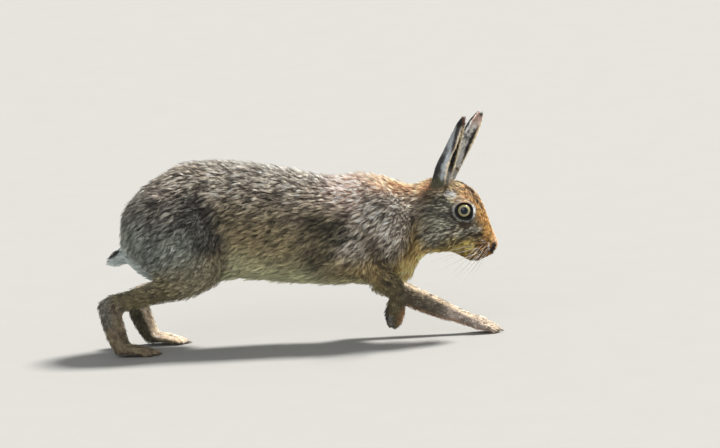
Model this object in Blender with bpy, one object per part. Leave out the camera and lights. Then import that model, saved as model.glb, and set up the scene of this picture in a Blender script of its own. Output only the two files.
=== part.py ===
"""A brown hare at life size, caught in a low stretched stride: a still model that stands on three paws.

Millimetres in the tables, metres in the scene. +X points to the nose, +Y to the hare's left, +Z up,
and the floor is Z = 0. The right side faces -Y. The body is modelled whole from lofted masses, blended
by a voxel remesh, and then parted by thin cuts into the pieces that a person would name.
"""

import math

import bmesh
import bpy
from mathutils import Matrix, Vector
from mathutils.bvhtree import BVHTree

MM = 0.001
GAP = 0.3 * MM
VOXEL = 2.2 * MM
DETAIL_COST = 2e-6
BODY_TRIANGLES = 6000

# Trunk, neck and head in side view. Each row is one cross-section:
# top x, top z, bottom x, bottom z, half width, how far down its widest level lies, squareness.
TRUNK = (
    (22, 196, 20, 148, 20, 0.50, 2.0),
    (33, 213, 29, 122, 36, 0.52, 2.0),
    (54, 232, 50, 103, 48, 0.54, 2.1),
    (80, 249, 84, 92, 54, 0.56, 2.2),
    (108, 262, 114, 90, 56, 0.57, 2.2),
    (141, 266, 147, 92, 54, 0.58, 2.2),
    (177, 264, 178, 97, 51, 0.59, 2.2),
    (212, 258, 214, 93, 51, 0.60, 2.2),
    (254, 251, 250, 88, 54, 0.60, 2.2),
    (292, 241, 284, 85, 56, 0.60, 2.2),
    (320, 236, 315, 82, 54, 0.58, 2.2),
    (351, 240, 344, 82, 50, 0.58, 2.2),
    (380, 236, 374, 79, 46, 0.56, 2.1),
    (408, 227, 403, 79, 40, 0.54, 2.1),
    (425, 221, 422, 88, 34, 0.52, 2.1),
    (438, 222, 431, 104, 31, 0.50, 2.1),
    (450, 226, 441, 116, 30, 0.52, 2.0),
    (463, 228, 454, 120, 30, 0.55, 2.0),
    (477, 225, 467, 121, 31, 0.52, 2.0),
    (490, 223, 478, 121, 31, 0.46, 2.0),
    (502, 218, 487, 118, 30, 0.42, 2.0),
    (514, 209, 495, 113, 27, 0.42, 2.0),
    (522, 199, 502, 109, 23, 0.44, 2.0),
    (529, 183, 509, 107, 19.5, 0.48, 2.0),
    (535, 164, 517, 107, 17, 0.50, 2.1),
    (540, 149, 524, 110, 15, 0.50, 2.2),
    (545, 137, 531, 113, 12, 0.50, 2.2),
    (546, 129, 538, 118, 7, 0.50, 2.2),
)
RUMP_POLE = (17, 172)
NOSE_POLE = (545, 122)

# Limbs: rows of x, y, z, half depth in side view, half width across. The right side is the near one.
HAUNCH_RIGHT = (
    (74, -30, 212, 38, 20),
    (84, -40, 185, 52, 25),
    (96, -46, 155, 57, 27),
    (116, -47, 130, 44, 23),
    (135, -46, 114, 26, 18),
)
SHIN_RIGHT = (
    (138, -46, 112, 21, 16),
    (104, -47, 99, 23, 15),
    (62, -46, 88, 17, 12),
    (28, -45, 79, 15, 10.5),
    (2, -45, 75, 15, 11),
)
METATARSUS_RIGHT = (
    (-4.6, -45, 73, 15.6, 11.5),
    (1, -45, 52, 16.3, 12),
    (6, -46, 32, 15.5, 13),
    (12, -47, 14, 13, 14.5),
)
HAUNCH_LEFT = (
    (80, 30, 212, 38, 20),
    (94, 40, 185, 50, 25),
    (112, 46, 157, 53, 27),
    (138, 47, 132, 41, 23),
    (156, 46, 117, 25, 18),
)
SHIN_LEFT = (
    (160, 46, 112, 20, 16),
    (128, 47, 99, 22, 15),
    (92, 46, 87, 17, 12),
    (60, 45, 77, 15, 10.5),
    (36, 45, 72, 15, 11),
)
METATARSUS_LEFT = (
    (32, 45, 70, 15, 11.5),
    (37, 45, 50, 16.5, 12),
    (44, 46, 31, 15.5, 13),
    (52, 47, 14, 13, 14.5),
)
SHOULDER_RIGHT = (
    (368, -26, 212, 26, 14),
    (384, -34, 185, 34, 18),
    (394, -38, 155, 34, 18),
    (380, -42, 132, 28, 17),
    (352, -46, 122, 20, 15),
    (334, -47, 121, 15, 13),
)
FOREARM_RIGHT = (
    (330, -47, 122, 13, 13),
    (356, -47, 112, 17, 13),
    (382, -46, 97, 15, 11.5),
    (400, -45, 87, 12, 10.5),
)
FOREPAW_RIGHT = (
    (401, -45, 84, 11.5, 10.5),
    (401.5, -45, 69, 12.8, 10.5),
    (399.5, -44, 56, 14.2, 11.5),
    (396.5, -44, 43, 15.4, 12),
    (396, -44, 33, 12, 10.5),
)
SHOULDER_LEFT = (
    (368, 26, 212, 26, 14),
    (386, 34, 185, 34, 18),
    (398, 38, 155, 34, 18),
    (396, 41, 125, 29, 17),
    (386, 41, 98, 23, 15),
    (380, 40, 82, 19, 13),
)
FOREARM_LEFT = (
    (376, 40, 78, 17, 13),
    (404, 37, 64, 17, 12),
    (434, 34, 48.5, 16.6, 11.5),
    (462, 31, 35.5, 14.6, 10.5),
    (484, 29, 26.5, 11.5, 10),
)
FOREPAW_LEFT = (
    (486, 29, 25.5, 11, 10.5),
    (503, 28, 18.5, 10, 11.5),
    (519, 27, 14, 10, 13),
)
TAIL = (
    (46, 0, 152, 9, 12),
    (30, 0, 142, 11.5, 14),
    (16, 0, 134, 12.5, 15),
    (5, 0, 129, 11, 12.5),
    (0, 0, 126, 6, 7),
)

# Extra fullness: centre x, y, z and half sizes x, y, z. Those with y above 0 are mirrored.
SWELLINGS = (
    (470, 20, 152, 24, 13, 26),
    (516, 9.5, 122, 14, 9.5, 14),
    (528, 6, 128, 12, 7, 10),
    (497, 15.5, 195, 20, 12, 11),
)

# Toes: root x, y, z, tip x, y, z, radius at the root and at the tip.
TOES = {
    "hind_foot_right": [
        (14, -56, 11, 48, -60, 3.0, 7.0, 4.6),
        (16, -49.5, 12, 60, -51, 3.0, 7.5, 4.9),
        (16, -42, 12, 62, -42, 3.0, 7.5, 4.9),
        (14, -35, 11, 52, -32.5, 3.0, 7.0, 4.6),
    ],
    "hind_foot_left": [
        (54, 56, 11, 88, 60, 3.0, 7.0, 4.6),
        (56, 49.5, 12, 100, 51, 3.0, 7.5, 4.9),
        (56, 42, 12, 102, 42, 3.0, 7.5, 4.9),
        (54, 35, 11, 92, 32.5, 3.0, 7.0, 4.6),
    ],
    "forepaw_left": [
        (510, 36, 12.5, 533, 40, 3.8, 6.8, 5.0),
        (512, 30, 14.5, 541, 32, 4.0, 7.4, 5.3),
        (512, 23.5, 14.5, 542, 23, 4.0, 7.4, 5.3),
        (510, 17.5, 12.5, 534, 15, 3.8, 6.8, 5.0),
    ],
    "forepaw_right": [
        (395, -53, 45, 389, -53, 30, 6.2, 5.0),
        (401, -48, 45, 397, -47.5, 27, 6.8, 5.4),
        (401, -41, 45, 397, -40.5, 27, 6.8, 5.4),
        (395, -35.5, 45, 389, -35, 30, 6.2, 5.0),
    ],
}

EYE_CENTRE = Vector((499.5, 19.5, 182)) * MM
EYE_RADIUS = 11.5 * MM
EYE_LOOK = Vector((0.20, 0.97, 0.12)).normalized()
DISH_LIFT = 21 * MM
DISH_RADIUS = 17 * MM
LID_OPENING = (10.4 * MM, 9.4 * MM)
LID_HEIGHT = 6.4 * MM
LID_RADIUS = 1.7 * MM
LID_SIDES = 20
CLAW_LENGTH = 10 * MM
RAISED_CLAW_LENGTH = 6 * MM
CLAW_RADIUS = 1.7 * MM
CLAW_DROP = 0.8 * MM
CLAW_SUNK = 2.0 * MM
CLAW_LEVEL = 0.3
FLOOR_REACH = 10 * MM

# Ears: rows of x, y, z of the cup's axis, radius of the cup, and the arc in degrees that it covers.
EARS = {
    "ear_right": (
        (463, -15, 209, 10.5, 335),
        (467, -16.5, 219, 12.0, 315),
        (476, -20, 240, 12.4, 265),
        (487, -25, 267, 11.6, 232),
        (496.5, -29, 290, 9.6, 205),
        (502.5, -32, 305, 7.2, 180),
        (505, -33.5, 314, 3.6, 160),
    ),
    "ear_left": (
        (465, 15, 207, 10.5, 335),
        (471, 16.5, 217, 12.0, 315),
        (484, 20, 238, 13.2, 265),
        (500, 25, 263, 13.2, 232),
        (514.5, 29, 284, 12.2, 205),
        (524, 31, 299, 10.2, 185),
        (530.5, 33, 311, 5.6, 165),
    ),
}
EAR_OPENING = {"ear_right": Vector((0.86, -0.50, 0)), "ear_left": Vector((0.80, -0.60, 0))}
EAR_THICKNESS = 1.6 * MM
EAR_COLUMNS = 10
EAR_ROOT_RADIUS = 11.0 * MM
EAR_ROOT_DEPTH = 9 * MM
EAR_ROOT_RISE = 3 * MM
EAR_ROOT_SIDES = 24
EAR_ROOM = 0.5 * MM
EAR_ROOM_ROWS = 10

# Face, in side view: height of the mouth line against the turn from the front, and the slits' sizes.
MOUTH_AXIS = Vector((506, 0, 0)) * MM
MOUTH_LINE = ((0, 116.5), (30, 114.5), (60, 112.0), (90, 111.5), (115, 114.5), (135, 120.0))
MOUTH_DEPTH = 0.9 * MM
LIP_RADIUS = 1.2 * MM
LIP_PART = 1.5 * MM
NOSTRIL = ((545.5, 3.2, 124.5), (545.2, 5.2, 126.5), (543.2, 7.0, 128.5), (540.5, 8.0, 129.0))
PHILTRUM = ((546.5, 0, 125.5), (544.5, 0, 121), (541.5, 0, 116.5))

# Where the body is parted. A block is a point on its cut, the way that the cut faces, its length
# behind the cut, its half height and half width. A ball is its centre, half sizes and forward lean.
LIMB_BLOCKS = (
    ("hind_foot_right", (0, -45, 74), (0.50, 0, 0.87), 90, 102, 24),
    ("hind_foot_left", (34, 45, 72), (0.50, 0, 0.87), 90, 102, 24),
    ("shin_right", (113, -46, 94), (0.97, 0, 0.24), 150, 26, 17.5),
    ("shin_left", (137, 46, 95), (0.96, 0, 0.29), 150, 26, 17.5),
    ("forepaw_right", (402, -45, 76), (0.15, 0, 0.99), 62, 30, 20),
    ("forearm_right", (355, -46.5, 109), (-0.90, 0, 0.43), 66, 20, 14),
    ("forepaw_left", (484, 29, 26), (-0.93, 0, 0.37), 80, 24, 24),
    ("forearm_left", (398, 38, 66), (-0.90, 0, 0.43), 110, 20, 20),
)
LIMB_BALLS = (
    ("thigh_right", (99, -64, 164), (56, 56, 95), 25),
    ("thigh_left", (121, 64, 164), (56, 56, 92), 25),
    ("upper_arm_right", (366, -64, 160), (46, 48, 76), -25),
    ("upper_arm_left", (386, 64, 142), (40, 48, 90), 0),
)
TRUNK_BLOCKS = (
    ("tail", (18, 0, 134.5), (0.90, 0, 0.43), 60, 16, 18),
    ("head", (452, 0, 174), (-0.994, 0, -0.112), 130, 90, 60),
    ("neck", (418, 0, 166), (-0.977, 0, -0.213), 60, 100, 60),
)
RING_SIDES = 40
LIMB_SIDES = 20

FUR_BACK = (0.25, 0.18, 0.11)
FUR_SIDE = (0.36, 0.25, 0.14)
FUR_LEG = (0.40, 0.28, 0.17)
FUR_HEAD = (0.33, 0.23, 0.14)
COLOURS = {
    "torso": FUR_BACK, "neck": FUR_SIDE, "head": FUR_HEAD, "tail": (0.62, 0.58, 0.52),
    "ear": (0.24, 0.17, 0.12), "eye": (0.55, 0.36, 0.10), "thigh": FUR_BACK, "shin": FUR_LEG,
    "hind_foot": FUR_LEG, "upper_arm": FUR_SIDE, "forearm": FUR_LEG, "forepaw": FUR_LEG,
}


def material(name, colour, roughness):
    made = bpy.data.materials.new(name)
    made.use_nodes = True
    shader = made.node_tree.nodes["Principled BSDF"]
    shader.inputs["Base Color"].default_value = (*colour, 1)
    shader.inputs["Roughness"].default_value = roughness
    return made


def new_object(name, bm):
    mesh = bpy.data.meshes.new(name)
    bm.to_mesh(mesh)
    bm.free()
    made = bpy.data.objects.new(name, mesh)
    bpy.context.scene.collection.objects.link(made)
    return made


def remove(obj):
    bpy.data.objects.remove(obj, do_unlink=True)


def apply_modifiers(obj):
    bpy.context.view_layer.update()
    graph = bpy.context.evaluated_depsgraph_get()
    mesh = bpy.data.meshes.new_from_object(obj.evaluated_get(graph))
    obj.modifiers.clear()
    obj.data = mesh


def smooth_value(t, a, b, c, d):
    """The value a share t of the way from b to c, on a smooth curve through a, b, c and d."""
    linear = c - a
    square = 2 * a - 5 * b + 4 * c - d
    cube = 3 * b - a - 3 * c + d
    return 0.5 * (2 * b + linear * t + square * t**2 + cube * t**3)


def smooth_rows(rows, steps):
    """Rows of numbers read as points on a smooth curve, with steps points between each pair."""
    ends = [rows[0], *rows, rows[-1]]
    made = []
    for before, start, end, after in zip(ends, ends[1:], ends[2:], ends[3:]):
        for step in range(steps):
            t = step / steps
            made.append(tuple(smooth_value(t, *four) for four in zip(before, start, end, after)))
    return [*made, rows[-1]]


def loft(name, rings, first_pole, last_pole):
    """A closed mesh through rings of equal length, drawn to a point at each end."""
    bm = bmesh.new()
    loops = [[bm.verts.new(p) for p in ring] for ring in rings]
    for near, far in zip(loops, loops[1:]):
        for i in range(len(near)):
            j = (i + 1) % len(near)
            bm.faces.new((near[i], near[j], far[j], far[i]))
    for loop, pole in ((loops[0], first_pole), (loops[-1], last_pole)):
        tip = bm.verts.new(pole)
        for i in range(len(loop)):
            bm.faces.new((loop[i], loop[(i + 1) % len(loop)], tip))
    bmesh.ops.recalc_face_normals(bm, faces=bm.faces)
    return new_object(name, bm)


def super_power(value, squareness):
    return math.copysign(abs(value) ** (2 / squareness), value)


def trunk_ring(row):
    top = Vector((row[0], 0, row[1])) * MM
    bottom = Vector((row[2], 0, row[3])) * MM
    half_width, level, squareness = row[4] * MM, row[5], row[6]
    widest = top.lerp(bottom, level)
    ring = []
    for i in range(RING_SIDES):
        angle = 2 * math.pi * i / RING_SIDES
        reach = (top if math.cos(angle) > 0 else bottom) - widest
        point = widest + reach * abs(super_power(math.cos(angle), squareness))
        point.y = half_width * super_power(math.sin(angle), squareness)
        ring.append(point)
    return ring


def make_trunk():
    rings = [trunk_ring(row) for row in smooth_rows(TRUNK, 4)]
    poles = [Vector((x, 0, z)) * MM for x, z in (RUMP_POLE, NOSE_POLE)]
    return loft("trunk", rings, *poles)


def limb_ring(centre, along, half_depth, half_width):
    across = (Vector((0, 1, 0)) - along * along.y).normalized()
    deep = across.cross(along)
    return [
        centre + deep * half_depth * math.cos(a) + across * half_width * math.sin(a)
        for a in (2 * math.pi * i / LIMB_SIDES for i in range(LIMB_SIDES))
    ]


def make_limb(name, rows):
    """A rounded closed tube through rows of x, y, z, half depth and half width."""
    rows = [tuple(v * MM for v in row) for row in smooth_rows(rows, 4)]
    centres = [Vector(row[:3]) for row in rows]
    rings = []
    for i, (row, centre) in enumerate(zip(rows, centres)):
        along = (centres[min(i + 1, len(rows) - 1)] - centres[max(i - 1, 0)]).normalized()
        rings.append(limb_ring(centre, along, row[3], row[4]))
    poles = []
    for end, inner in ((0, 1), (-1, -2)):
        along = (centres[end] - centres[inner]).normalized()
        reach = min(rows[end][3:])
        side = 1 if end == -1 else -1
        deep, wide = rows[end][3:]
        caps = [
            limb_ring(centres[end] + along * reach * lift, along * side, deep * size, wide * size)
            for lift, size in ((0.5, 0.87), (0.85, 0.53))
        ]
        rings = rings + caps if end == -1 else caps[::-1] + rings
        poles.append(centres[end] + along * reach)
    return loft(name, rings, *poles)


def make_swelling(name, row, side):
    bm = bmesh.new()
    place = Matrix.Translation(Vector((row[0], row[1] * side, row[2])) * MM)
    size = Matrix.Diagonal((row[3] * MM, row[4] * MM, row[5] * MM, 1))
    bmesh.ops.create_uvsphere(bm, u_segments=24, v_segments=16, radius=1, matrix=place @ size)
    return new_object(name, bm)


def make_toe(name, row):
    start, end = Vector(row[:3]), Vector(row[3:6])
    middle = start.lerp(end, 0.55) + Vector((0, 0, 1.5))
    half = (row[6] + row[7]) / 2
    return make_limb(name, ((*start, row[6], row[6]), (*middle, half, half), (*end, row[7], row[7])))


def join(name, objects):
    bm = bmesh.new()
    for obj in objects:
        bm.from_mesh(obj.data)
        remove(obj)
    return new_object(name, bm)


def weight(obj, name, measure):
    """A vertex group whose weights are measured at each vertex, in millimetres."""
    group = obj.vertex_groups.new(name=name)
    for vert in obj.data.vertices:
        value = measure(*(vert.co / MM))
        if value > 0:
            group.add([vert.index], min(value, 1), "REPLACE")
    return name


def on_trunk(x, y, z):
    """One on the trunk and haunches, falling to zero on the face and on the lower legs."""
    return min((455 - x) / 30, (z - 84) / 30)


def on_skull(x, y, z):
    """One on the head behind the muzzle."""
    return min((x - 440) / 12, (530 - x) / 20, (z - 100) / 10)


def soften(flesh):
    """Melts the masses into each other on the trunk, and thins the mesh most where it is plain."""
    for name, iterations, measure in (("all", 4, None), ("skull", 16, on_skull), ("trunk", 45, on_trunk)):
        smooth = flesh.modifiers.new("Smooth", "SMOOTH")
        smooth.factor = 0.5
        smooth.iterations = iterations
        if measure:
            smooth.vertex_group = weight(flesh, name, measure)
    apply_modifiers(flesh)
    decimate = flesh.modifiers.new("Decimate", "DECIMATE")
    decimate.ratio = BODY_TRIANGLES / (2 * len(flesh.data.polygons))
    decimate.vertex_group = weight(flesh, "plain", lambda x, y, z: max(on_trunk(x, y, z), 0.01))
    decimate.vertex_group_factor = DETAIL_COST
    apply_modifiers(flesh)
    flesh.vertex_groups.clear()


def make_flesh():
    """Every mass of flesh but the ears, as one blended closed surface."""
    limbs = {
        "haunch_right": HAUNCH_RIGHT, "shin_right": SHIN_RIGHT, "metatarsus_right": METATARSUS_RIGHT,
        "haunch_left": HAUNCH_LEFT, "shin_left": SHIN_LEFT, "metatarsus_left": METATARSUS_LEFT,
        "shoulder_right": SHOULDER_RIGHT, "arm_right": FOREARM_RIGHT, "paw_right": FOREPAW_RIGHT,
        "shoulder_left": SHOULDER_LEFT, "arm_left": FOREARM_LEFT, "paw_left": FOREPAW_LEFT,
        "tail_core": TAIL,
    }
    masses = [make_trunk()]
    masses += [make_limb(name, rows) for name, rows in limbs.items()]
    masses += [make_toe("toe", row) for rows in TOES.values() for row in rows]
    masses += [make_swelling("swelling", row, side) for row in SWELLINGS for side in (1, -1)]
    flesh = join("flesh", masses)
    remesh = flesh.modifiers.new("Remesh", "REMESH")
    remesh.mode = "VOXEL"
    remesh.voxel_size = VOXEL
    apply_modifiers(flesh)
    soften(flesh)
    return flesh


def largest_shell(bm):
    """Keeps only the largest closed surface of a mesh."""
    left, shells = set(bm.verts), []
    while left:
        shell, edge = set(), [left.pop()]
        while edge:
            vert = edge.pop()
            shell.add(vert)
            near = {e.other_vert(vert) for e in vert.link_edges} & left
            left -= near
            edge.extend(near)
        shells.append(shell)
    keep = max(shells, key=len)
    bmesh.ops.delete(bm, geom=[v for v in bm.verts if v not in keep], context="VERTS")


def boolean(obj, others, operation):
    """Applies one Boolean between an object and a collection of closed objects, which are then removed."""
    group = bpy.data.collections.new("operands")
    for other in others:
        group.objects.link(other)
    modifier = obj.modifiers.new("Boolean", "BOOLEAN")
    modifier.operation = operation
    modifier.operand_type = "COLLECTION"
    modifier.collection = group
    apply_modifiers(obj)
    for other in list(group.objects):
        remove(other)
    bpy.data.collections.remove(group)


def clean(obj):
    """Triangulates a node and drops all but its largest closed surface."""
    bm = bmesh.new()
    bm.from_mesh(obj.data)
    largest_shell(bm)
    bmesh.ops.remove_doubles(bm, verts=bm.verts, dist=0.02 * MM)
    bmesh.ops.dissolve_degenerate(bm, dist=0.01 * MM, edges=bm.edges)
    bmesh.ops.triangulate(bm, faces=bm.faces)
    bm.to_mesh(obj.data)
    bm.free()


def block(row, grown):
    """The closed box on the far side of a cut, widened on every side by the gap where it is grown."""
    facing = Vector(row[2]).normalized()
    across = Vector((0, 1, 0))
    up = facing.cross(across)
    centre = Vector(row[1]) * MM - facing * row[3] * MM / 2
    turn = Matrix((facing, across, up)).transposed().to_4x4()
    sides = (row[3] * MM + 2 * grown, 2 * (row[5] * MM + grown), 2 * (row[4] * MM + grown))
    size = Matrix.Diagonal((*sides, 1))
    bm = bmesh.new()
    bmesh.ops.create_cube(bm, size=1, matrix=Matrix.Translation(centre) @ turn @ size)
    return new_object("block", bm)


def ball(row, grown):
    half = [size * MM + grown for size in row[2]]
    turn = Matrix.Rotation(math.radians(-row[3]), 4, "Y")
    bm = bmesh.new()
    place = Matrix.Translation(Vector(row[1]) * MM) @ turn @ Matrix.Diagonal((*half, 1))
    bmesh.ops.create_icosphere(bm, subdivisions=3, radius=1, matrix=place)
    return new_object("ball", bm)


def take(body, name, selector, row):
    """Moves the flesh inside a closed shape into a node of its own, one gap away from the rest."""
    piece = bpy.data.objects.new(name, body.data.copy())
    bpy.context.scene.collection.objects.link(piece)
    boolean(piece, [selector(row, 0)], "INTERSECT")
    boolean(body, [selector(row, GAP)], "DIFFERENCE")
    clean(piece)
    return piece


def part_body(flesh):
    nodes = {}
    for row in LIMB_BLOCKS:
        nodes[row[0]] = take(flesh, row[0], block, row)
    for row in LIMB_BALLS:
        nodes[row[0]] = take(flesh, row[0], ball, row)
    for row in TRUNK_BLOCKS:
        nodes[row[0]] = take(flesh, row[0], block, row)
    clean(flesh)
    flesh.name = "torso"
    nodes["torso"] = flesh
    return nodes


def make_tube(name, points, radius, ends=0.4):
    """A closed tube of one radius through points in metres, drawn in at its ends."""
    bm = bmesh.new()
    rings = []
    for i, point in enumerate(points):
        along = (points[min(i + 1, len(points) - 1)] - points[max(i - 1, 0)]).normalized()
        side = along.orthogonal() if i == 0 else (side - along * side.dot(along))
        side.normalize()
        reach = radius * (ends if i in (0, len(points) - 1) else 1)
        other = along.cross(side)
        rings.append([
            bm.verts.new(point + (side * math.cos(a) + other * math.sin(a)) * reach)
            for a in (2 * math.pi * k / 6 for k in range(6))
        ])
    for near, far in zip(rings, rings[1:]):
        for i in range(6):
            bm.faces.new((near[i], near[(i + 1) % 6], far[(i + 1) % 6], far[i]))
    bm.faces.new(rings[0][::-1])
    bm.faces.new(rings[-1])
    bmesh.ops.recalc_face_normals(bm, faces=bm.faces)
    return new_object(name, bm)


def sphere(name, centre, radius):
    bm = bmesh.new()
    bmesh.ops.create_icosphere(bm, subdivisions=3, radius=radius, matrix=Matrix.Translation(centre))
    return new_object(name, bm)


def eye_frame(side):
    flip = Vector((1, side, 1))
    centre = EYE_CENTRE * flip
    look = EYE_LOOK * flip
    across = look.cross(Vector((0, 0, 1))).normalized()
    return centre, look, across, across.cross(look)


def make_lid(side):
    """A closed ring of skin that lies on the eyeball round its opening."""
    centre, look, across, up = eye_frame(side)
    bm = bmesh.new()
    rings = []
    for i in range(LID_SIDES):
        a = 2 * math.pi * i / LID_SIDES
        outward = across * math.cos(a) + up * math.sin(a) * LID_OPENING[1] / LID_OPENING[0]
        middle = centre + outward * LID_OPENING[0] + look * LID_HEIGHT
        outward.normalize()
        rings.append([
            bm.verts.new(middle + (outward * math.cos(b) + look * math.sin(b)) * LID_RADIUS)
            for b in (2 * math.pi * k / 6 for k in range(6))
        ])
    for near, far in zip(rings, rings[1:] + rings[:1]):
        for k in range(6):
            bm.faces.new((near[k], near[(k + 1) % 6], far[(k + 1) % 6], far[k]))
    bmesh.ops.recalc_face_normals(bm, faces=bm.faces)
    return new_object("lid", bm)


def mouth_path(tree, lift):
    """Points on the face along the line of the mouth, from one corner round the front to the other."""
    half = smooth_rows(MOUTH_LINE, 2)
    line = [(-a, z) for a, z in half[:0:-1]] + half
    points = []
    for angle, z in line:
        way = Vector((math.cos(math.radians(angle)), math.sin(math.radians(angle)), 0))
        inner = MOUTH_AXIS + Vector((0, 0, z * MM + lift))
        hit = tree.ray_cast(inner + way * 0.08, -way)[0]
        points.append(hit)
    return points


def on_face(tree, point):
    return tree.find_nearest(Vector(point) * MM)[0]


def make_face(head):
    """Cuts the eye sockets, mouth, nostrils and ear seats of the head, and adds its lids and lips."""
    dishes = []
    for side in (1, -1):
        centre, look, _, _ = eye_frame(side)
        dishes.append(sphere("dish", centre + look * DISH_LIFT, DISH_RADIUS))
    boolean(head, dishes, "DIFFERENCE")
    clean(head)
    tree = BVHTree.FromObject(head, bpy.context.evaluated_depsgraph_get())
    lips = [make_tube("lip", mouth_path(tree, lift), LIP_RADIUS) for lift in (-LIP_PART, LIP_PART)]
    mouth = make_tube("mouth", mouth_path(tree, 0), MOUTH_DEPTH)
    grooves = [mouth, make_tube("philtrum", [on_face(tree, p) for p in PHILTRUM], MOUTH_DEPTH)]
    for side in (1, -1):
        path = [on_face(tree, (x, y * side, z)) for x, y, z in NOSTRIL]
        grooves.append(make_tube("nostril", path, 1.5 * MM))
    boolean(head, [*lips, make_lid(1), make_lid(-1)], "UNION")
    clean(head)
    for side in (1, -1):
        grooves.append(sphere("socket", eye_frame(side)[0], EYE_RADIUS + GAP))
    boolean(head, grooves, "DIFFERENCE")
    clean(head)


def ear_stations(name):
    """Along an ear: centre, the way it grows, the way its cup faces, radius and arc in radians."""
    rows = smooth_rows(EARS[name], 3)
    stations = []
    for i, row in enumerate(rows):
        ahead, behind = rows[min(i + 1, len(rows) - 1)], rows[max(i - 1, 0)]
        along = (Vector(ahead[:3]) - Vector(behind[:3])).normalized()
        opening = (EAR_OPENING[name] - along * EAR_OPENING[name].dot(along)).normalized()
        stations.append((Vector(row[:3]) * MM, along, opening, row[3] * MM, math.radians(row[4])))
    return stations


def ear_sheet(name):
    """The open cupped sheet of an ear, before it has any thickness."""
    bm = bmesh.new()
    grid = []
    for centre, along, opening, radius, arc in ear_stations(name):
        across = along.cross(opening)
        turns = [arc * (k / EAR_COLUMNS - 0.5) for k in range(EAR_COLUMNS + 1)]
        ways = [across * math.sin(a) - opening * math.cos(a) for a in turns]
        grid.append([bm.verts.new(centre + way * radius) for way in ways])
    for near, far in zip(grid, grid[1:]):
        for k in range(EAR_COLUMNS):
            bm.faces.new((near[k], near[k + 1], far[k + 1]))
            bm.faces.new((near[k], far[k + 1], far[k]))
    bm.verts.index_update()
    rim = [ring[k].index for ring in grid for k in (0, EAR_COLUMNS)] + [v.index for v in grid[-1]]
    return new_object(name, bm), rim


def make_ear(name):
    """An ear triangulated alike on both faces, thinner at its rim than down its middle."""
    ear, rim = ear_sheet(name)
    thick = ear.vertex_groups.new(name="thick")
    thick.add(range(len(ear.data.vertices)), 1.0, "REPLACE")
    thick.add(rim, 0.55, "REPLACE")
    solid = ear.modifiers.new("Solidify", "SOLIDIFY")
    solid.thickness = EAR_THICKNESS
    solid.offset = 1
    solid.vertex_group = "thick"
    apply_modifiers(ear)
    bm = bmesh.new()
    bm.from_mesh(ear.data)
    bmesh.ops.recalc_face_normals(bm, faces=bm.faces)
    bm.to_mesh(ear.data)
    bm.free()
    return ear


def ring_stack(name, rings):
    """A closed solid through rings of equal length, with flat ends."""
    bm = bmesh.new()
    loops = [[bm.verts.new(p) for p in ring] for ring in rings]
    for near, far in zip(loops, loops[1:]):
        for i in range(len(near)):
            j = (i + 1) % len(near)
            bm.faces.new((near[i], near[j], far[j], far[i]))
    bm.faces.new(loops[0][::-1])
    bm.faces.new(loops[-1])
    bmesh.ops.recalc_face_normals(bm, faces=bm.faces)
    return new_object(name, bm)


def circle(centre, along, opening, radius, sides=EAR_ROOT_SIDES):
    across = along.cross(opening)
    turns = [2 * math.pi * k / sides for k in range(sides)]
    return [centre + (across * math.sin(a) - opening * math.cos(a)) * radius for a in turns]


def seat_ear(name, head):
    """Gives an ear its solid root, and the head the seat in which root and cup stand clear of it."""
    stations = ear_stations(name)
    first, along, opening, radius, _ = stations[0]
    seat = first - along * EAR_ROOT_DEPTH
    foot, top = seat + along * GAP, first + along * EAR_ROOT_RISE
    root = ring_stack("root", [
        circle(foot, along, opening, EAR_ROOT_RADIUS),
        circle(top, along, opening, EAR_ROOT_RADIUS),
    ])
    room = [circle(seat, along, opening, EAR_ROOT_RADIUS + EAR_ROOM)]
    for centre, way, open_way, radius, _ in stations[:EAR_ROOM_ROWS]:
        room.append(circle(centre, way, open_way, max(radius, EAR_ROOT_RADIUS) + EAR_ROOM))
    ear = make_ear(name)
    boolean(ear, [root], "UNION")
    clean(ear)
    boolean(head, [ring_stack("room", room)], "DIFFERENCE")
    return ear


def make_claw(row):
    root, tip = Vector(row[:3]) * MM, Vector(row[3:6]) * MM
    along = (tip - root).normalized()
    length = RAISED_CLAW_LENGTH
    if tip.z < FLOOR_REACH:
        along = (along * Vector((1, 1, CLAW_LEVEL))).normalized()
        length = CLAW_LENGTH
    start = tip - along * CLAW_SUNK
    rows = [start + along * length * t - Vector((0, 0, CLAW_DROP)) * t * t for t in (0, 0.5, 1)]
    bm = bmesh.new()
    rings = []
    for point, size in zip(rows, (1, 0.7, 0.25)):
        side = along.orthogonal().normalized()
        other = along.cross(side)
        rings.append([
            bm.verts.new(point + (side * math.cos(a) + other * math.sin(a)) * CLAW_RADIUS * size)
            for a in (2 * math.pi * k / 5 for k in range(5))
        ])
    for near, far in zip(rings, rings[1:]):
        for i in range(5):
            bm.faces.new((near[i], near[(i + 1) % 5], far[(i + 1) % 5], far[i]))
    bm.faces.new(rings[0][::-1])
    bm.faces.new(rings[-1])
    bmesh.ops.recalc_face_normals(bm, faces=bm.faces)
    return new_object("claw", bm)


def finish_foot(foot, toes):
    boolean(foot, [make_claw(row) for row in toes], "UNION")
    clean(foot)
    bm = bmesh.new()
    floor = Matrix.Translation((0.25, 0, -0.05)) @ Matrix.Diagonal((1.2, 0.6, 0.1, 1))
    bmesh.ops.create_cube(bm, size=1, matrix=floor)
    boolean(foot, [new_object("floor", bm)], "DIFFERENCE")
    clean(foot)


def centre_on_origin(nodes):
    """Shifts every node so that the bottom centre of the whole lies at the origin."""
    points = [v.co for node in nodes for v in node.data.vertices]
    low = [min(p[i] for p in points) for i in range(3)]
    high = [max(p[i] for p in points) for i in range(3)]
    shift = Matrix.Translation((-(low[0] + high[0]) / 2, -(low[1] + high[1]) / 2, -low[2]))
    for node in nodes:
        node.data.transform(shift)
        node.data.update()


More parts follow.
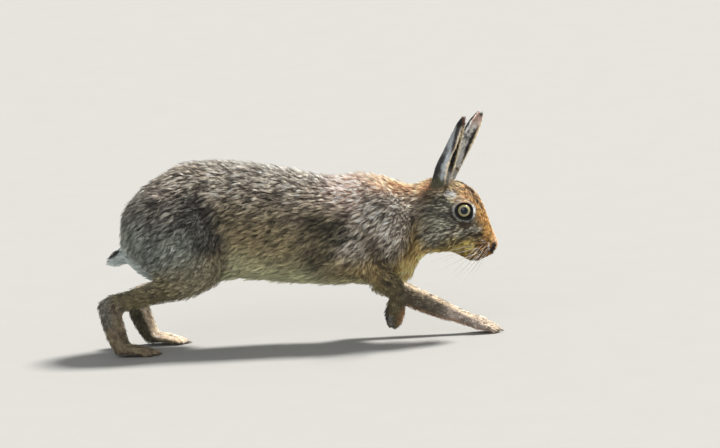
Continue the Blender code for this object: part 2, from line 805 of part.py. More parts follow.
def main():
    for obj in list(bpy.data.objects):
        bpy.data.objects.remove(obj, do_unlink=True)
    nodes = part_body(make_flesh())
    make_face(nodes["head"])
    for name in EARS:
        nodes[name] = seat_ear(name, nodes["head"])
    clean(nodes["head"])
    for side, name in ((1, "eye_left"), (-1, "eye_right")):
        nodes[name] = sphere(name, eye_frame(side)[0], EYE_RADIUS)
    for name, toes in TOES.items():
        finish_foot(nodes[name], toes)
    centre_on_origin(nodes.values())
    for name, node in nodes.items():
        base = name.removesuffix("_left").removesuffix("_right")
        node.data.materials.clear()
        node.data.materials.append(material(name, COLOURS[base], 0.15 if base == "eye" else 0.9))


main()
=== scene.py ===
"""A brown hare at life size: skin, coat, eyes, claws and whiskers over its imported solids."""

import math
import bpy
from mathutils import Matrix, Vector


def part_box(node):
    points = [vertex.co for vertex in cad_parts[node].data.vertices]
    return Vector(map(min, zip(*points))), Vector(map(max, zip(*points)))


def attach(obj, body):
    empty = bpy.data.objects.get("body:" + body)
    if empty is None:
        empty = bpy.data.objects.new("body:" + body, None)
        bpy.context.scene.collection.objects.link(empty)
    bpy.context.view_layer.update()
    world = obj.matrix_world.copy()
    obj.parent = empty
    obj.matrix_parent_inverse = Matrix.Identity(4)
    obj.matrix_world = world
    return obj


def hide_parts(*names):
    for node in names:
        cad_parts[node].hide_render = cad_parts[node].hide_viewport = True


bl_info = {
    "name": "Brown Hare Model",
    "version": (1, 0, 0),
    "blender": (4, 5, 0),
    "location": "3D View > Sidebar > Hare",
    "description": "Skin, coat, eyes, claws and whiskers of a brown hare over its solids",
    "category": "Object",
}

import bmesh
import bpy
import numpy as np
from mathutils import Matrix, Vector
from mathutils.bvhtree import BVHTree
from mathutils.kdtree import KDTree

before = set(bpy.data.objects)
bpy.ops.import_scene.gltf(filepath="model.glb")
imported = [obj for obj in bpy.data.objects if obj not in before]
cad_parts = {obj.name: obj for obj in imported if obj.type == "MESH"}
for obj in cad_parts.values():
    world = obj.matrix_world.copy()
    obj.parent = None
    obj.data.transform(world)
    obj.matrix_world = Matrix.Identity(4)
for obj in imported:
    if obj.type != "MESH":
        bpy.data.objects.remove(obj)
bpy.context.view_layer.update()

# Places below are in millimetres on the hare: x to the nose, y to its left, z up from the ground.
EYE_CENTRE = np.array((499.5, 19.5, 182.0))
EYE_RADIUS = 11.5
EYE_LOOK = np.array((0.04, 0.98, 0.085))
# An eye's opening is this much longer than high, and only points above this height out along its look
# count as near it.
EYE_STRETCH = 1.06
EYE_DEEPEST = -4.0
# Radius round each eye inside which no hair grows.
BARE_RADIUS = 12.6
# The head's own finer mesh begins, and is whole, at these lengths.
HEAD_BEGINS = (462, 474)
# In metres: the growth that closes the cuts between nodes, and how far a place of the skin may lie from
# the modelled head to be drawn onto it.
NODE_OVERLAP = 0.00035
HEAD_NEAR = 0.006
# Nothing of the skin or the coat comes nearer to the ground than this.
SKIN_FLOOR = 0.4
HAIR_FLOOR = 0.15


def eye_box_middle():
    """The middle between the two eye nodes, in millimetres."""
    left, right = [np.array([list(corner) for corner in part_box(name)]) for name in ("eye_left", "eye_right")]
    return (left + right).mean(axis=0) / 2 * 1000.0


ORIGIN = eye_box_middle() - EYE_CENTRE * (1.0, 0.0, 1.0)

FLESH = tuple(
    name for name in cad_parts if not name.startswith("eye_") and not name.startswith("ear_")
)

# Camera: its angles, millimetres for each pixel at the hare, a place on the hare and the pixel where
# the photograph shows it, the photograph's width and middle row, and the distance in metres.
CAMERA_RISE = math.radians(8.5)
CAMERA_ROLL = math.radians(2.5)
CAMERA_SCALE = 1.4
CAMERA_ANCHOR = np.array((0.0, -45.0, 0.0))
ANCHOR_PIXEL = (113.0, 357.0)
PHOTO_WIDTH = 720
PHOTO_MIDDLE_ROW = 224
CAMERA_AWAY = 10.0
SENSOR_WIDTH = 36.0
# The studio floor in metres: its radius, and how far it lies under the feet.
FLOOR_RADIUS = 45.0
FLOOR_DROP = 0.0002

# Furs: how much their locks differ from each other, and the colours of the hair's root, its band and
# its tip (display red, green, blue from 0 to 255).
FUR = {
    # The back's two furs are paler than the hair itself, most along the top: the hair's own colour with
    # painted sunlight from above.
    "back": (1.8, (60, 53, 47), (240, 223, 202), (28, 23, 19)),
    "back_top": (1.5, (124, 112, 102), (255, 250, 236), (92, 80, 72)),
    "rump": (1.6, (44, 43, 42), (152, 147, 138), (21, 20, 21)),
    "haunch": (1, (80, 83, 78), (176, 182, 172), (58, 60, 56)),
    "haunch_low": (0.8, (114, 108, 86), (184, 174, 144), (114, 105, 82)),
    # Not a fur of the hare: painted shade in the fold in front of the thigh.
    "crease": (1.5, (26, 27, 27), (118, 116, 108), (18, 18, 19)),
    "flank": (1, (78, 71, 57), (168, 154, 124), (76, 66, 52)),
    "flank_low": (0.7, (124, 112, 84), (194, 176, 134), (146, 126, 90)),
    "belly": (0.35, (188, 186, 150), (224, 224, 182), (208, 206, 162)),
    # The nape's and the withers' furs are the hair's own warm colours made paler as painted sunlight from
    # above.
    "nape": (1.3, (255, 176, 126), (255, 228, 186), (255, 206, 162)),
    "withers": (1.2, (255, 205, 184), (255, 243, 230), (255, 228, 210)),
    "shoulder": (1.7, (110, 99, 88), (255, 244, 228), (70, 61, 54)),
    "lock": (1.6, (14, 13, 10), (112, 104, 80), (10, 9, 8)),
    "neck": (1.35, (40, 33, 22), (120, 105, 78), (24, 19, 14)),
    # The chest's fur is its own orange, made paler and warmer as painted sunlight on its front.
    "chest": (0.9, (255, 196, 116), (255, 238, 170), (255, 216, 134)),
    "breast": (0.5, (168, 152, 100), (214, 200, 146), (176, 160, 108)),
    "throat": (1, (92, 70, 29), (158, 128, 56), (97, 74, 31)),
    "shin": (1.3, (84, 76, 52), (150, 140, 104), (70, 61, 42)),
    "foot": (1.3, (104, 92, 72), (172, 156, 128), (88, 76, 58)),
    "foot_grey": (1.3, (80, 78, 72), (150, 147, 138), (63, 60, 55)),
    # Not a fur of the hare: painted sunlight on the front edges of the far legs.
    "sunlit_rim": (1, (240, 206, 168), (255, 250, 232), (255, 234, 204)),
    "tan": (1, (150, 104, 66), (214, 164, 114), (168, 118, 76)),
    "elbow": (1.2, (92, 78, 48), (186, 162, 112), (74, 60, 38)),
    "foreleg": (1.3, (70, 63, 52), (156, 144, 124), (62, 54, 44)),
    "foreleg_dark": (1.4, (58, 52, 36), (134, 122, 88), (52, 44, 30)),
    "paw": (1, (128, 116, 106), (206, 192, 180), (142, 128, 116)),
    "foot_dark": (1.4, (66, 62, 48), (124, 118, 94), (58, 54, 40)),
    # The crown's fur has its band made paler as painted sunlight on the top of the head.
    "crown": (1.5, (124, 86, 56), (255, 226, 178), (78, 50, 32)),
    "forehead": (1.1, (118, 83, 48), (214, 167, 108), (96, 64, 37)),
    "bridge": (1, (160, 114, 62), (240, 190, 116), (184, 136, 74)),
    "nose": (0.6, (206, 166, 130), (250, 216, 178), (234, 194, 156)),
    "brow": (1, (180, 148, 116), (238, 206, 172), (196, 160, 126)),
    "cheek": (1.7, (40, 38, 32), (186, 182, 162), (26, 24, 20)),
    "cheek_low": (1.5, (50, 43, 27), (176, 156, 108), (38, 31, 19)),
    "jaw": (1, (196, 166, 80), (255, 228, 136), (212, 176, 92)),
    "chin": (1, (100, 74, 20), (160, 124, 42), (92, 64, 16)),
    "pad": (1.7, (70, 43, 10), (176, 122, 44), (50, 32, 8)),
    "ring_grey": (1, (106, 108, 100), (154, 156, 148), (132, 134, 126)),
    "cream": (1, (214, 168, 124), (250, 216, 172), (232, 190, 146)),
    "white": (0.6, (176, 168, 156), (222, 216, 204), (206, 198, 184)),
    "bright": (0.3, (228, 228, 226), (252, 252, 250), (244, 244, 240)),
    "lichen": (1.4, (122, 124, 112), (214, 210, 194), (126, 126, 112)),
    "spot": (1, (34, 27, 22), (54, 44, 36), (28, 22, 19)),
    "umber": (1, (52, 37, 23), (96, 72, 44), (42, 30, 19)),
    "ear_grey": (1, (118, 122, 126), (200, 206, 210), (138, 142, 146)),
    "ear_base": (1, (60, 59, 44), (112, 110, 86), (52, 50, 38)),
    "ear_fuzz": (1, (238, 236, 230), (255, 255, 252), (250, 248, 244)),
    "ear_pale": (1, (160, 169, 174), (210, 217, 222), (182, 191, 196)),
    "ear_streak": (1, (26, 25, 26), (58, 56, 54), (24, 22, 22)),
    "ear_cream": (1, (240, 212, 164), (255, 248, 226), (255, 236, 200)),
    # Not the ear's own colour: painted shade deep in the hollow of each ear.
    "ear_hollow_shade": (1, (20, 15, 14), (38, 30, 26), (20, 15, 14)),
    "ear_tan": (1, (188, 158, 146), (230, 208, 198), (196, 168, 156)),
    "ear_brown": (1, (84, 48, 32), (134, 82, 56), (78, 44, 30)),
    "black": (1, (16, 14, 14), (28, 25, 25), (14, 12, 12)),
    "tail_white": (0.4, (196, 209, 206), (228, 239, 236), (218, 229, 226)),
}

# The coat: place x, y from the middle plane and z; side (0 both, -1 right, 1 left); reach; which way
# the hair lies; how long it is; how deep the coat is; and the fur.
COAT = (
    # Body and tail.
    (30, 0, 205, 0, 26, (-0.9, 0, -0.5), 15, 7, "rump"),
    (60, 0, 235, 0, 28, (-1, 0, -0.4), 17, 8, "rump"),
    (110, 0, 262, 0, 30, (-1, 0, -0.1), 17, 8, "back"),
    # Along the top of the back the fur carries painted sunlight from above.
    (170, 0, 266, 0, 30, (-1, 0, 0), 17, 8, "back_top"),
    (230, 0, 258, 0, 30, (-1, 0, 0.1), 17, 8, "back_top"),
    (290, 0, 244, 0, 30, (-1, 0, 0.1), 16, 8, "back_top"),
    # The withers' and the nape's rows carry painted sunlight on the top of the shoulders and neck.
    (340, 0, 240, 0, 28, (-1, 0, 0), 15, 7.5, "withers"),
    (372, 0, 240, 0, 22, (-1, 0, 0.1), 14, 7, "withers"),
    (392, 10, 234, 0, 18, (-1, 0, 0.1), 13, 6, "nape"),
    (412, 10, 227, 0, 14, (-1, 0, 0.1), 13, 6, "nape"),
    (424, 10, 220, 0, 16, (-1, 0, -0.1), 12, 5, "nape"),
    # The back's rows carry painted sunlight from above as well as the hair's own colour.
    (90, 32, 240, 0, 26, (-0.9, 0.1, -0.5), 16, 8, "back"),
    (150, 36, 244, 0, 28, (-1, 0, -0.3), 16, 8, "back"),
    (215, 42, 232, 0, 28, (-1, 0, -0.25), 16, 8, "back"),
    (280, 42, 222, 0, 28, (-1, 0, -0.2), 16, 8, "back"),
    (340, 40, 215, 0, 26, (-1, 0, -0.2), 15, 7.5, "withers"),
    (60, 50, 205, 0, 24, (-0.8, 0.1, -0.7), 16, 7, "rump"),
    (35, 38, 175, 0, 22, (-0.7, 0.1, -0.8), 15, 6.5, "haunch"),
    (95, 58, 200, 0, 24, (-0.8, 0, -0.7), 16, 7, "rump"),
    (80, 66, 165, 0, 26, (-0.7, 0, -0.8), 15, 6.5, "haunch"),
    (45, 50, 140, 0, 22, (-0.7, 0, -0.7), 14, 6, "haunch"),
    (110, 64, 140, 0, 24, (-0.6, 0, -0.8), 14, 6, "haunch"),
    (110, 60, 112, 0, 20, (-0.9, 0, -0.5), 9, 3.4, "haunch_low"),
    (140, 52, 120, 0, 18, (-0.7, 0, -0.7), 8, 3, "haunch_low"),
    # These three rows and the one at x 120 below paint shade along the fold in front of the thigh.
    (125, 55, 226, 0, 12, (-0.8, 0, -0.7), 15, 8, "crease"),
    (137, 58, 190, 0, 12, (-0.7, 0, -0.8), 15, 8, "crease"),
    (151, 58, 158, 0, 12, (-0.7, 0, -0.8), 15, 8, "crease"),
    (163, 50, 128, 0, 12, (-0.5, 0, -0.8), 10, 4, "haunch_low"),
    (158, 56, 143, 0, 10, (-0.6, 0, -0.8), 12, 5, "flank"),
    (120, 54, 212, 0, 11, (-0.9, 0, -0.5), 15, 8, "crease"),
    (185, 54, 190, 0, 26, (-1, 0, -0.35), 16, 8, "flank"),
    (240, 56, 185, 0, 28, (-1, 0, -0.35), 17, 8, "flank"),
    (300, 56, 185, 0, 26, (-1, 0, -0.35), 17, 8, "flank"),
    (200, 52, 150, 0, 24, (-1, 0, -0.5), 18, 8, "flank_low"),
    (250, 54, 140, 0, 26, (-1, 0, -0.5), 18, 8.5, "flank_low"),
    (300, 54, 150, 0, 18, (-0.9, 0, -0.5), 18, 8.5, "flank"),
    (184, 40, 120, 0, 18, (-1, 0, -0.4), 16, 7.5, "belly"),
    (235, 38, 104, 0, 24, (-1, 0, -0.2), 16, 8, "belly"),
    (290, 32, 96, 0, 22, (-1, 0, -0.1), 15, 8, "belly"),
    (340, 20, 86, 0, 22, (-1, 0, 0), 13, 6, "belly"),
    (150, 10, 95, 0, 26, (-1, 0, 0.2), 13, 6, "belly"),
    (100, 10, 95, 0, 24, (-1, 0, 0.2), 11, 5, "belly"),
    (50, 12, 112, 0, 20, (-1, 0, 0.5), 10, 4.5, "tail_white"),
    (385, 46, 190, 0, 22, (-0.9, 0, -0.45), 16, 7, "shoulder"),
    (333, 55, 176, 0, 16, (-0.9, 0, -0.45), 17, 8, "lock"),
    (312, 56, 152, 0, 15, (-0.8, 0, -0.55), 19, 8.5, "lock"),
    (345, 52, 148, 0, 16, (-0.7, 0, -0.7), 17, 7.5, "shoulder"),
    (300, 54, 126, 0, 14, (-0.8, 0, -0.6), 18, 8, "lock"),
    (322, 56, 160, 0, 11, (-0.8, 0, -0.5), 18, 8, "lock"),
    (306, 57, 177, 0, 10, (-0.9, 0, -0.4), 18, 8, "lock"),
    (320, 46, 108, 0, 16, (-0.9, 0, -0.4), 15, 7, "flank_low"),
    (375, 52, 150, 0, 18, (-0.6, 0, -0.75), 14, 6, "neck"),
    (400, 48, 160, 0, 18, (-0.7, 0, -0.7), 15, 6.5, "shoulder"),
    (428, 32, 180, 0, 18, (-0.9, 0, -0.5), 15, 6, "neck"),
    (420, 34, 200, 0, 16, (-0.9, 0, -0.35), 14, 6, "shoulder"),
    (425, 30, 145, 0, 18, (-0.7, 0, -0.8), 15, 6.5, "throat"),
    # The chest's rows carry painted sunlight on its front as well as its orange.
    (410, 12, 100, 0, 20, (-0.6, 0, -0.8), 14, 6.5, "chest"),
    (430, 10, 118, 0, 18, (-0.7, 0, -0.7), 13, 6, "chest"),
    (382, 16, 84, 0, 18, (-0.9, 0, -0.3), 9, 4, "breast"),
    (4, 8, 130, 0, 12, (-0.9, 0, -0.3), 8, 3.4, "tail_white"),
    (16, 8, 134, 0, 10, (-0.9, 0, -0.3), 8, 3.4, "tail_white"),
    # Hind legs: near side, then far side.
    (120, 46, 96, -1, 16, (-1, 0, -0.2), 8, 3.5, "haunch_low"),
    (85, 46, 96, -1, 18, (-1, 0, -0.2), 8, 3, "shin"),
    (45, 46, 92, -1, 18, (-1, 0, -0.1), 7, 2.5, "shin"),
    (12, 46, 92, -1, 16, (-1, 0, -0.1), 6, 2.2, "shin"),
    (-10, 46, 90, -1, 12, (-0.3, 0, -1), 5, 2, "foot_grey"),
    (-8, 46, 60, -1, 14, (0.1, 0, -1), 6, 2.2, "foot_grey"),
    (10, 46, 50, -1, 12, (0.2, 0, -1), 6, 2.2, "foot"),
    (4, 46, 22, -1, 14, (0.6, 0, -0.8), 6, 2.2, "foot"),
    (45, 46, 10, -1, 16, (1, 0, -0.1), 6, 2.2, "foot"),
    (130, 46, 96, 1, 16, (-1, 0, -0.2), 8, 3.5, "haunch_low"),
    (95, 46, 94, 1, 18, (-1, 0, -0.2), 8, 3, "shin"),
    (50, 46, 88, 1, 18, (-1, 0, -0.1), 7, 2.5, "shin"),
    (28, 46, 72, 1, 14, (-0.2, 0, -1), 6, 2.2, "foot_dark"),
    (38, 46, 50, 1, 12, (0.2, 0, -1), 6, 2.2, "foot_dark"),
    (45, 46, 22, 1, 14, (0.6, 0, -0.8), 6, 2.2, "foot_dark"),
    (85, 46, 10, 1, 16, (1, 0, -0.1), 6, 2.2, "foot"),
    # Forelegs.
    (345, 40, 110, -1, 16, (-0.5, 0, -0.8), 12, 5, "elbow"),
    (370, 46, 104, -1, 14, (0.4, 0, -0.8), 8, 3, "elbow"),
    (395, 46, 96, -1, 14, (0.8, 0, -0.6), 6, 2.4, "foreleg_dark"),
    (405, 46, 72, -1, 12, (0, 0, -1), 6, 2.2, "foreleg_dark"),
    (400, 46, 48, -1, 12, (-0.1, 0, -1), 5, 1.8, "foreleg_dark"),
    (394, 46, 28, -1, 12, (-0.3, 0, -1), 4, 1.5, "foreleg_dark"),
    (365, 36, 96, 1, 16, (0.3, 0, -0.8), 10, 4, "foreleg"),
    (410, 36, 70, 1, 16, (0.93, 0, -0.4), 6, 2.4, "foreleg"),
    (450, 32, 50, 1, 18, (0.93, 0, -0.4), 6, 2.2, "foreleg"),
    (490, 27, 26, 1, 16, (0.93, 0, -0.4), 5, 2, "paw"),
    (525, 27, 8, 1, 16, (1, 0, -0.1), 5, 1.8, "paw"),
    # Head.
    (455, 10, 226, 0, 13, (-1, 0, 0), 8, 2.6, "nape"),
    (478, 8, 226, 0, 10, (-1, 0, 0.1), 6, 1.9, "crown"),
    (497, 8, 221, 0, 9, (-0.8, 0, 0.5), 5, 1.7, "crown"),
    (512, 7, 210, 0, 9, (-0.6, 0, 0.8), 5, 1.6, "forehead"),
    (508, 15, 206, 0, 7, (-0.6, 0, 0.6), 4, 1.5, "forehead"),
    (524, 6, 192, 0, 9, (-0.4, 0, 0.9), 4, 1.5, "forehead"),
    (532, 5, 172, 0, 9, (-0.3, 0, 0.9), 4, 1.4, "bridge"),
    (539, 5, 152, 0, 8, (-0.3, 0, 0.9), 3.5, 1.3, "bridge"),
    (545, 3, 137, 0, 6, (-0.3, 0, 0.9), 2.5, 1, "nose"),
    (525, 14, 166, 0, 8, (-0.7, 0, 0.5), 4, 1.4, "bridge"),
    (517, 17, 147, 0, 7, (-0.9, 0, 0.2), 4.5, 1.5, "cheek_low"),
    (512, 20, 160, 0, 8, (-0.9, 0, 0), 5, 1.7, "cheek"),
    (533, 11, 142, 0, 6, (-0.8, 0, 0.2), 4, 1.4, "bridge"),
    (528, 13, 126, 0, 7, (-0.8, 0, -0.2), 4, 1.4, "pad"),
    (538, 9, 117, 0, 5, (-0.6, 0, -0.3), 3, 1.1, "pad"),
    (546, 2, 129, 0, 4.5, (-0.5, 0, 0.6), 2.2, 0.8, "nose"),
    (520, 10, 109, 0, 8, (-1, 0, -0.1), 4.5, 1.6, "chin"),
    (503, 12, 112, 0, 9, (-1, 0, -0.2), 6, 2, "chin"),
    (502, 22, 124, 0, 8, (-1, 0, -0.2), 6, 1.9, "jaw"),
    (480, 16, 117, 0, 13, (-1, 0, -0.2), 9, 3, "jaw"),
    (488, 28, 139, 0, 11, (-1, 0, -0.2), 8, 2.5, "cheek_low"),
    (496, 27, 158, 0, 8, (-1, 0, -0.1), 6, 2, "cheek"),
    (475, 31, 160, 0, 12, (-1, 0, -0.2), 9, 2.8, "cheek"),
    (468, 31, 185, 0, 12, (-1, 0, -0.1), 9, 2.8, "cheek"),
    (455, 31, 150, 0, 14, (-0.9, 0, -0.4), 12, 4.2, "cheek"),
    (486, 22, 205, 0, 5, (-1, 0, 0.2), 5, 1.7, "crown"),
    (458, 20, 208, 0, 9, (-1, 0, 0), 8, 2.6, "neck"),
    (472, 26, 200, 0, 7, (-1, 0, -0.1), 7, 2.2, "cheek"),
    (476, 18, 214, 0, 6, (-1, 0, 0.1), 5, 1.7, "crown"),
)


def linear(colour):
    """Display colours from 0 to 255 as linear light."""
    share = np.asarray(colour, dtype=float) / 255.0
    return np.where(share <= 0.04045, share / 12.92, ((share + 0.055) / 1.055) ** 2.4)


def unit(rows):
    """Each row at a length of 1."""
    return rows / np.maximum(np.linalg.norm(rows, axis=-1, keepdims=True), 1e-9)


def shades_of(name):
    """A fur's three colours as linear light."""
    return np.array([linear(shade) for shade in FUR[name][1:]])


PLACE = np.array([row[:3] for row in COAT], dtype=float)
SIDE, REACH = np.array([row[3:5] for row in COAT], dtype=float).T
LIE = np.array([row[5] for row in COAT], dtype=float)
LENGTH, DEPTH = np.array([row[6:8] for row in COAT], dtype=float).T
RANGE = np.array([FUR[row[8]][0] for row in COAT], dtype=float)
SHADES = np.array([shades_of(row[8]) for row in COAT])
# Rows of the coat's table are weighed for this many points at a time.
BATCH = 20000
# Colours change more sharply between two places of the table than the lie does.
SHADE_SHARPNESS = 1.6


def to_metres(points):
    """Places on the hare in millimetres, as metres in the frame."""
    return (np.asarray(points, dtype=float) + ORIGIN) / 1000.0


def to_hare(points):
    """Places in the frame, as millimetres on the hare."""
    return np.asarray(points, dtype=float) * 1000.0 - ORIGIN


def smooth_step(low, high, value):
    """0 below low, 1 above high, and smooth between them."""
    share = np.clip((value - low) / (high - low), 0.0, 1.0)
    return share * share * (3.0 - 2.0 * share)


def falling(low, high, value):
    """1 below low, 0 above high, and smooth between them."""
    return 1 - smooth_step(low, high, value)


def between(rise_from, rise_to, fall_from, fall_to, value):
    """1 in the middle of a stretch, rising and falling smoothly at its ends."""
    return smooth_step(rise_from, rise_to, value) * falling(fall_from, fall_to, value)


def bell(value, middle, width):
    """1 at the middle, falling smoothly to 0 on both sides."""
    return np.exp(-((value - middle) / width) ** 2)


def ripple(points, scale, seed):
    """A smooth irregular value near -1 to 1, with features about scale millimetres across."""
    generator = np.random.default_rng(seed)
    total = np.zeros(len(points))
    for _ in range(7):
        way = unit(generator.normal(size=3))
        rate = 2 * math.pi / (scale * generator.uniform(1.3, 3.2))
        total += np.sin(points @ way * rate + generator.uniform(0, 6.28))
    return total / 3.2


def folded(points):
    """Points of both sides laid over each other on the left."""
    return np.stack((points[:, 0], np.abs(points[:, 1]), points[:, 2]), axis=1)


def from_stroke(points, start, end):
    """The way to each point from the nearest place on a straight stroke."""
    start = np.array(start, dtype=float)
    run = np.array(end, dtype=float) - start
    along = np.clip((points - start) @ run / (run @ run), 0.0, 1.0)
    return points - (start + along[:, None] * run)


def eye_frame(side):
    """Middle of an eye, and its axes: forwards, upwards and out along the look."""
    mirror = np.array((1.0, side, 1.0))
    look = unit(EYE_LOOK * mirror)
    ahead = np.array((1.0, 0.0, -0.10))
    ahead = unit(ahead - look * (ahead @ look))
    up = np.cross(look, ahead)
    if up[2] < 0:
        up = -up
    return EYE_CENTRE * mirror, ahead, up, look


def eye_places(points):
    """How far each point is from its own side's eye, across, up and out, and how far round its rim."""
    result = np.empty((len(points), 3))
    for side in (-1, 1):
        own = points[:, 1] * side >= 0
        middle, ahead, up, look = eye_frame(side)
        away = points[own] - middle
        result[own] = np.stack((away @ ahead, away @ up, away @ look), axis=1)
    return result, np.sqrt((result[:, 0] / EYE_STRETCH) ** 2 + result[:, 1] ** 2)


# Ears: stations up each ear, as middle x, y, z, radius, and the arc that the sheet spans in degrees.
EARS = {
    -1: (
        (463, -15, 209, 10.5, 335), (467, -16.5, 219, 12, 315), (476, -20, 240, 12.4, 265),
        (487, -25, 267, 11.6, 232), (496.5, -29, 290, 9.6, 205), (502.5, -32, 305, 7.2, 180),
        (505, -33.5, 314, 3.6, 160),
    ),
    1: (
        (465, 15, 207, 10.5, 335), (471, 16.5, 217, 12, 315), (484, 20, 238, 13.2, 265),
        (500, 25, 263, 13.2, 232), (514.5, 29, 284, 12.2, 205), (524, 31, 299, 10.2, 185),
        (530.5, 33, 311, 5.6, 165),
    ),
}
# Which way each ear's opening faces, on plan.
EAR_OPENING = {-1: (0.86, -0.50), 1: (0.80, -0.60)}
# How far the near ear's edge on the camera's side is drawn forwards at most.
EAR_PULL = 4.2
# How far the near ear's back bulges at its widest.
NEAR_EAR_SWELL = 2.4
# Length of the head's hair that stands round the foot of each ear.
SKIRT_LENGTH = 8.5


def ear_station(side, heights):
    """An ear's middle x and y, its radius, and its sheet's arc in radians, at heights."""
    rows = np.array(EARS[side], dtype=float)
    x, y, radius, arc = [np.interp(heights, rows[:, 2], rows[:, column]) for column in (0, 1, 3, 4)]
    return x, y, radius, np.radians(arc)


def ear_pull(side, height, turn):
    """How far the near ear's edge on the camera's side is drawn forwards over its opening."""
    return EAR_PULL * between(0.42, 0.62, 0.88, 1.0, height) * (turn < 0) * (side < 0)


def ear_places(points, normals):
    """Height share up the ear, distance from the sheet's edge, whether a point is inside the cup, and
    its turn from the middle of the opening, below 0 on the camera's side."""
    height = np.zeros(len(points))
    edge = np.full(len(points), 99.0)
    inside = np.zeros(len(points))
    turned = np.zeros(len(points))
    for side, rows in EARS.items():
        own = np.nonzero(points[:, 1] * side > 0)[0]
        here = points[own]
        middle_x, middle_y, radius, arc = ear_station(side, here[:, 2])
        away_x = here[:, 0] - middle_x
        away_y = here[:, 1] - middle_y
        opening = math.atan2(EAR_OPENING[side][1], EAR_OPENING[side][0])
        turn = np.arctan2(away_y, away_x) - opening
        turn = (turn + math.pi) % (2 * math.pi) - math.pi
        height[own] = (here[:, 2] - rows[0][2]) / (rows[-1][2] - rows[0][2])
        edge[own] = (np.abs(turn) - (math.pi - arc / 2)) * radius + ear_pull(side, height[own], turn)
        inside[own] = normals[own, 0] * away_x + normals[own, 1] * away_y < 0
        turned[own] = turn
    return height, edge, inside, turned


def coat_at(points, normals, on_ear):
    """The coat at each point: lie, length, depth, the three shades of the fur, and their range."""
    count = len(points)
    lie = np.zeros((count, 3))
    length = np.zeros(count)
    depth = np.zeros(count)
    shades = np.zeros((count, 3, 3))
    vary = np.zeros(count)
    flat = SHADES.reshape(len(COAT), 9)
    for start in range(0, count, BATCH):
        part = slice(start, start + BATCH)
        aside = points[part, 1:2]
        mine = np.clip(0.5 + aside * SIDE[None, :] / 12.0, 0.0, 1.0)
        mine = np.where(SIDE[None, :] == 0, 1.0, mine)
        gap = ((folded(points[part])[:, None, :] - PLACE[None, :, :]) ** 2).sum(axis=2)
        pull = np.exp(-0.5 * gap / REACH[None, :] ** 2) * mine * (20.0 / REACH[None, :]) ** 2
        pull += 1e-12 / (1.0 + gap)
        pull /= pull.sum(axis=1, keepdims=True)
        lie[part] = pull @ LIE
        lie[part, 1] *= np.sign(aside[:, 0])
        length[part] = pull @ LENGTH
        depth[part] = pull @ DEPTH
        vary[part] = pull @ RANGE
        sharp = pull ** SHADE_SHARPNESS
        sharp /= sharp.sum(axis=1, keepdims=True)
        shades[part] = (sharp @ flat).reshape(-1, 3, 3)
    paint_face(points, lie, length, depth, shades)
    paint_legs(points, normals, shades)
    paint_tail(points, normals, shades)
    if on_ear.any():
        places = ear_places(points, normals)
        paint_ears(points, places, on_ear, shades)
        lay_ears(points, places, on_ear, lie, length, depth)
    lie -= normals * (lie * normals).sum(axis=1, keepdims=True)
    return unit(lie), length, depth, shades, vary


def blend_shade(shades, share, name):
    """Change a share of each point's three shades to a fur's."""
    shades += (shades_of(name)[None, :, :] - shades) * share[:, None, None]


# The ring round each eye: turn from forwards in degrees, where 90 is upwards; outer radius of the black
# rim and of the ring; how white and how creamy the ring is; how dark the line outside it is.
EYE_RING = (
    (-180, 13.1, 15.4, 0.12, 0.0, 0.9), (-135, 13.2, 15.0, 0.0, 0.0, 1.0), (-90, 13.4, 15.2, 0.0, 0.0, 0.9),
    (-45, 15.2, 17.0, 0.0, 0.0, 0.4), (-15, 13.0, 16.4, 0.7, 0.0, 0.0), (10, 12.6, 16.0, 1.0, 0.0, 0.0),
    (45, 12.2, 13.8, 0.2, 0.5, 0.0), (90, 11.6, 17.0, 0.0, 0.9, 0.0), (125, 11.9, 16.2, 0.1, 0.3, 0.3),
    (180, 13.1, 15.4, 0.12, 0.0, 0.9),
)


def paint_face(points, lie, length, depth, shades):
    """The head's marks, the ring round each eye with its black rim, and shorter hair at eyes and lips."""
    eye, reach = eye_places(points)
    near = (eye[:, 2] > EYE_DEEPEST) & (reach < 34)
    angle = np.degrees(np.arctan2(eye[:, 1], eye[:, 0]))
    rows = np.array(EYE_RING)
    rim, wide, white, cream, dark = [np.interp(angle, rows[:, 0], column) for column in rows[:, 1:].T]
    wide += 0.4 * ripple(points, 5.0, 31)
    add_marks(points, shades, FACE_MARKS)
    ring = between(9.0, 11.5, wide - 0.8, wide + 0.8, reach) * near
    line = between(wide, wide + 1.0, wide + 2.2, wide + 3.8, reach) * near
    blend_shade(shades, ring, "ring_grey")
    blend_shade(shades, ring * cream, "cream")
    blend_shade(shades, ring * white, "bright")
    blend_shade(shades, line * dark, "spot")
    blend_shade(shades, falling(rim - 0.4, rim + 0.4, reach) * near, "black")
    swirl = falling(14.0, 26.0, reach) * near
    for side in (-1, 1):
        own = points[:, 1] * side >= 0
        _, ahead, up, _ = eye_frame(side)
        outward = unit(eye[own, 0:1] * ahead + eye[own, 1:2] * up) * 1.2 - ahead * 0.9
        lie[own] += (outward - lie[own]) * swirl[own, None] * 0.7
    length[:] = np.where(near, np.minimum(length, 1.6 + np.maximum(reach - 12, 0) * 0.28), length)
    depth[:] = np.where(near, np.minimum(depth, 0.15 + np.maximum(reach - 12.5, 0) * 0.16), depth)
    lips = (points[:, 0] > 515) & (points[:, 2] < 145) & (np.abs(points[:, 2] - lip_height(points)) < 2.0)
    depth[:] = np.where(lips, np.minimum(depth, 0.3), depth)


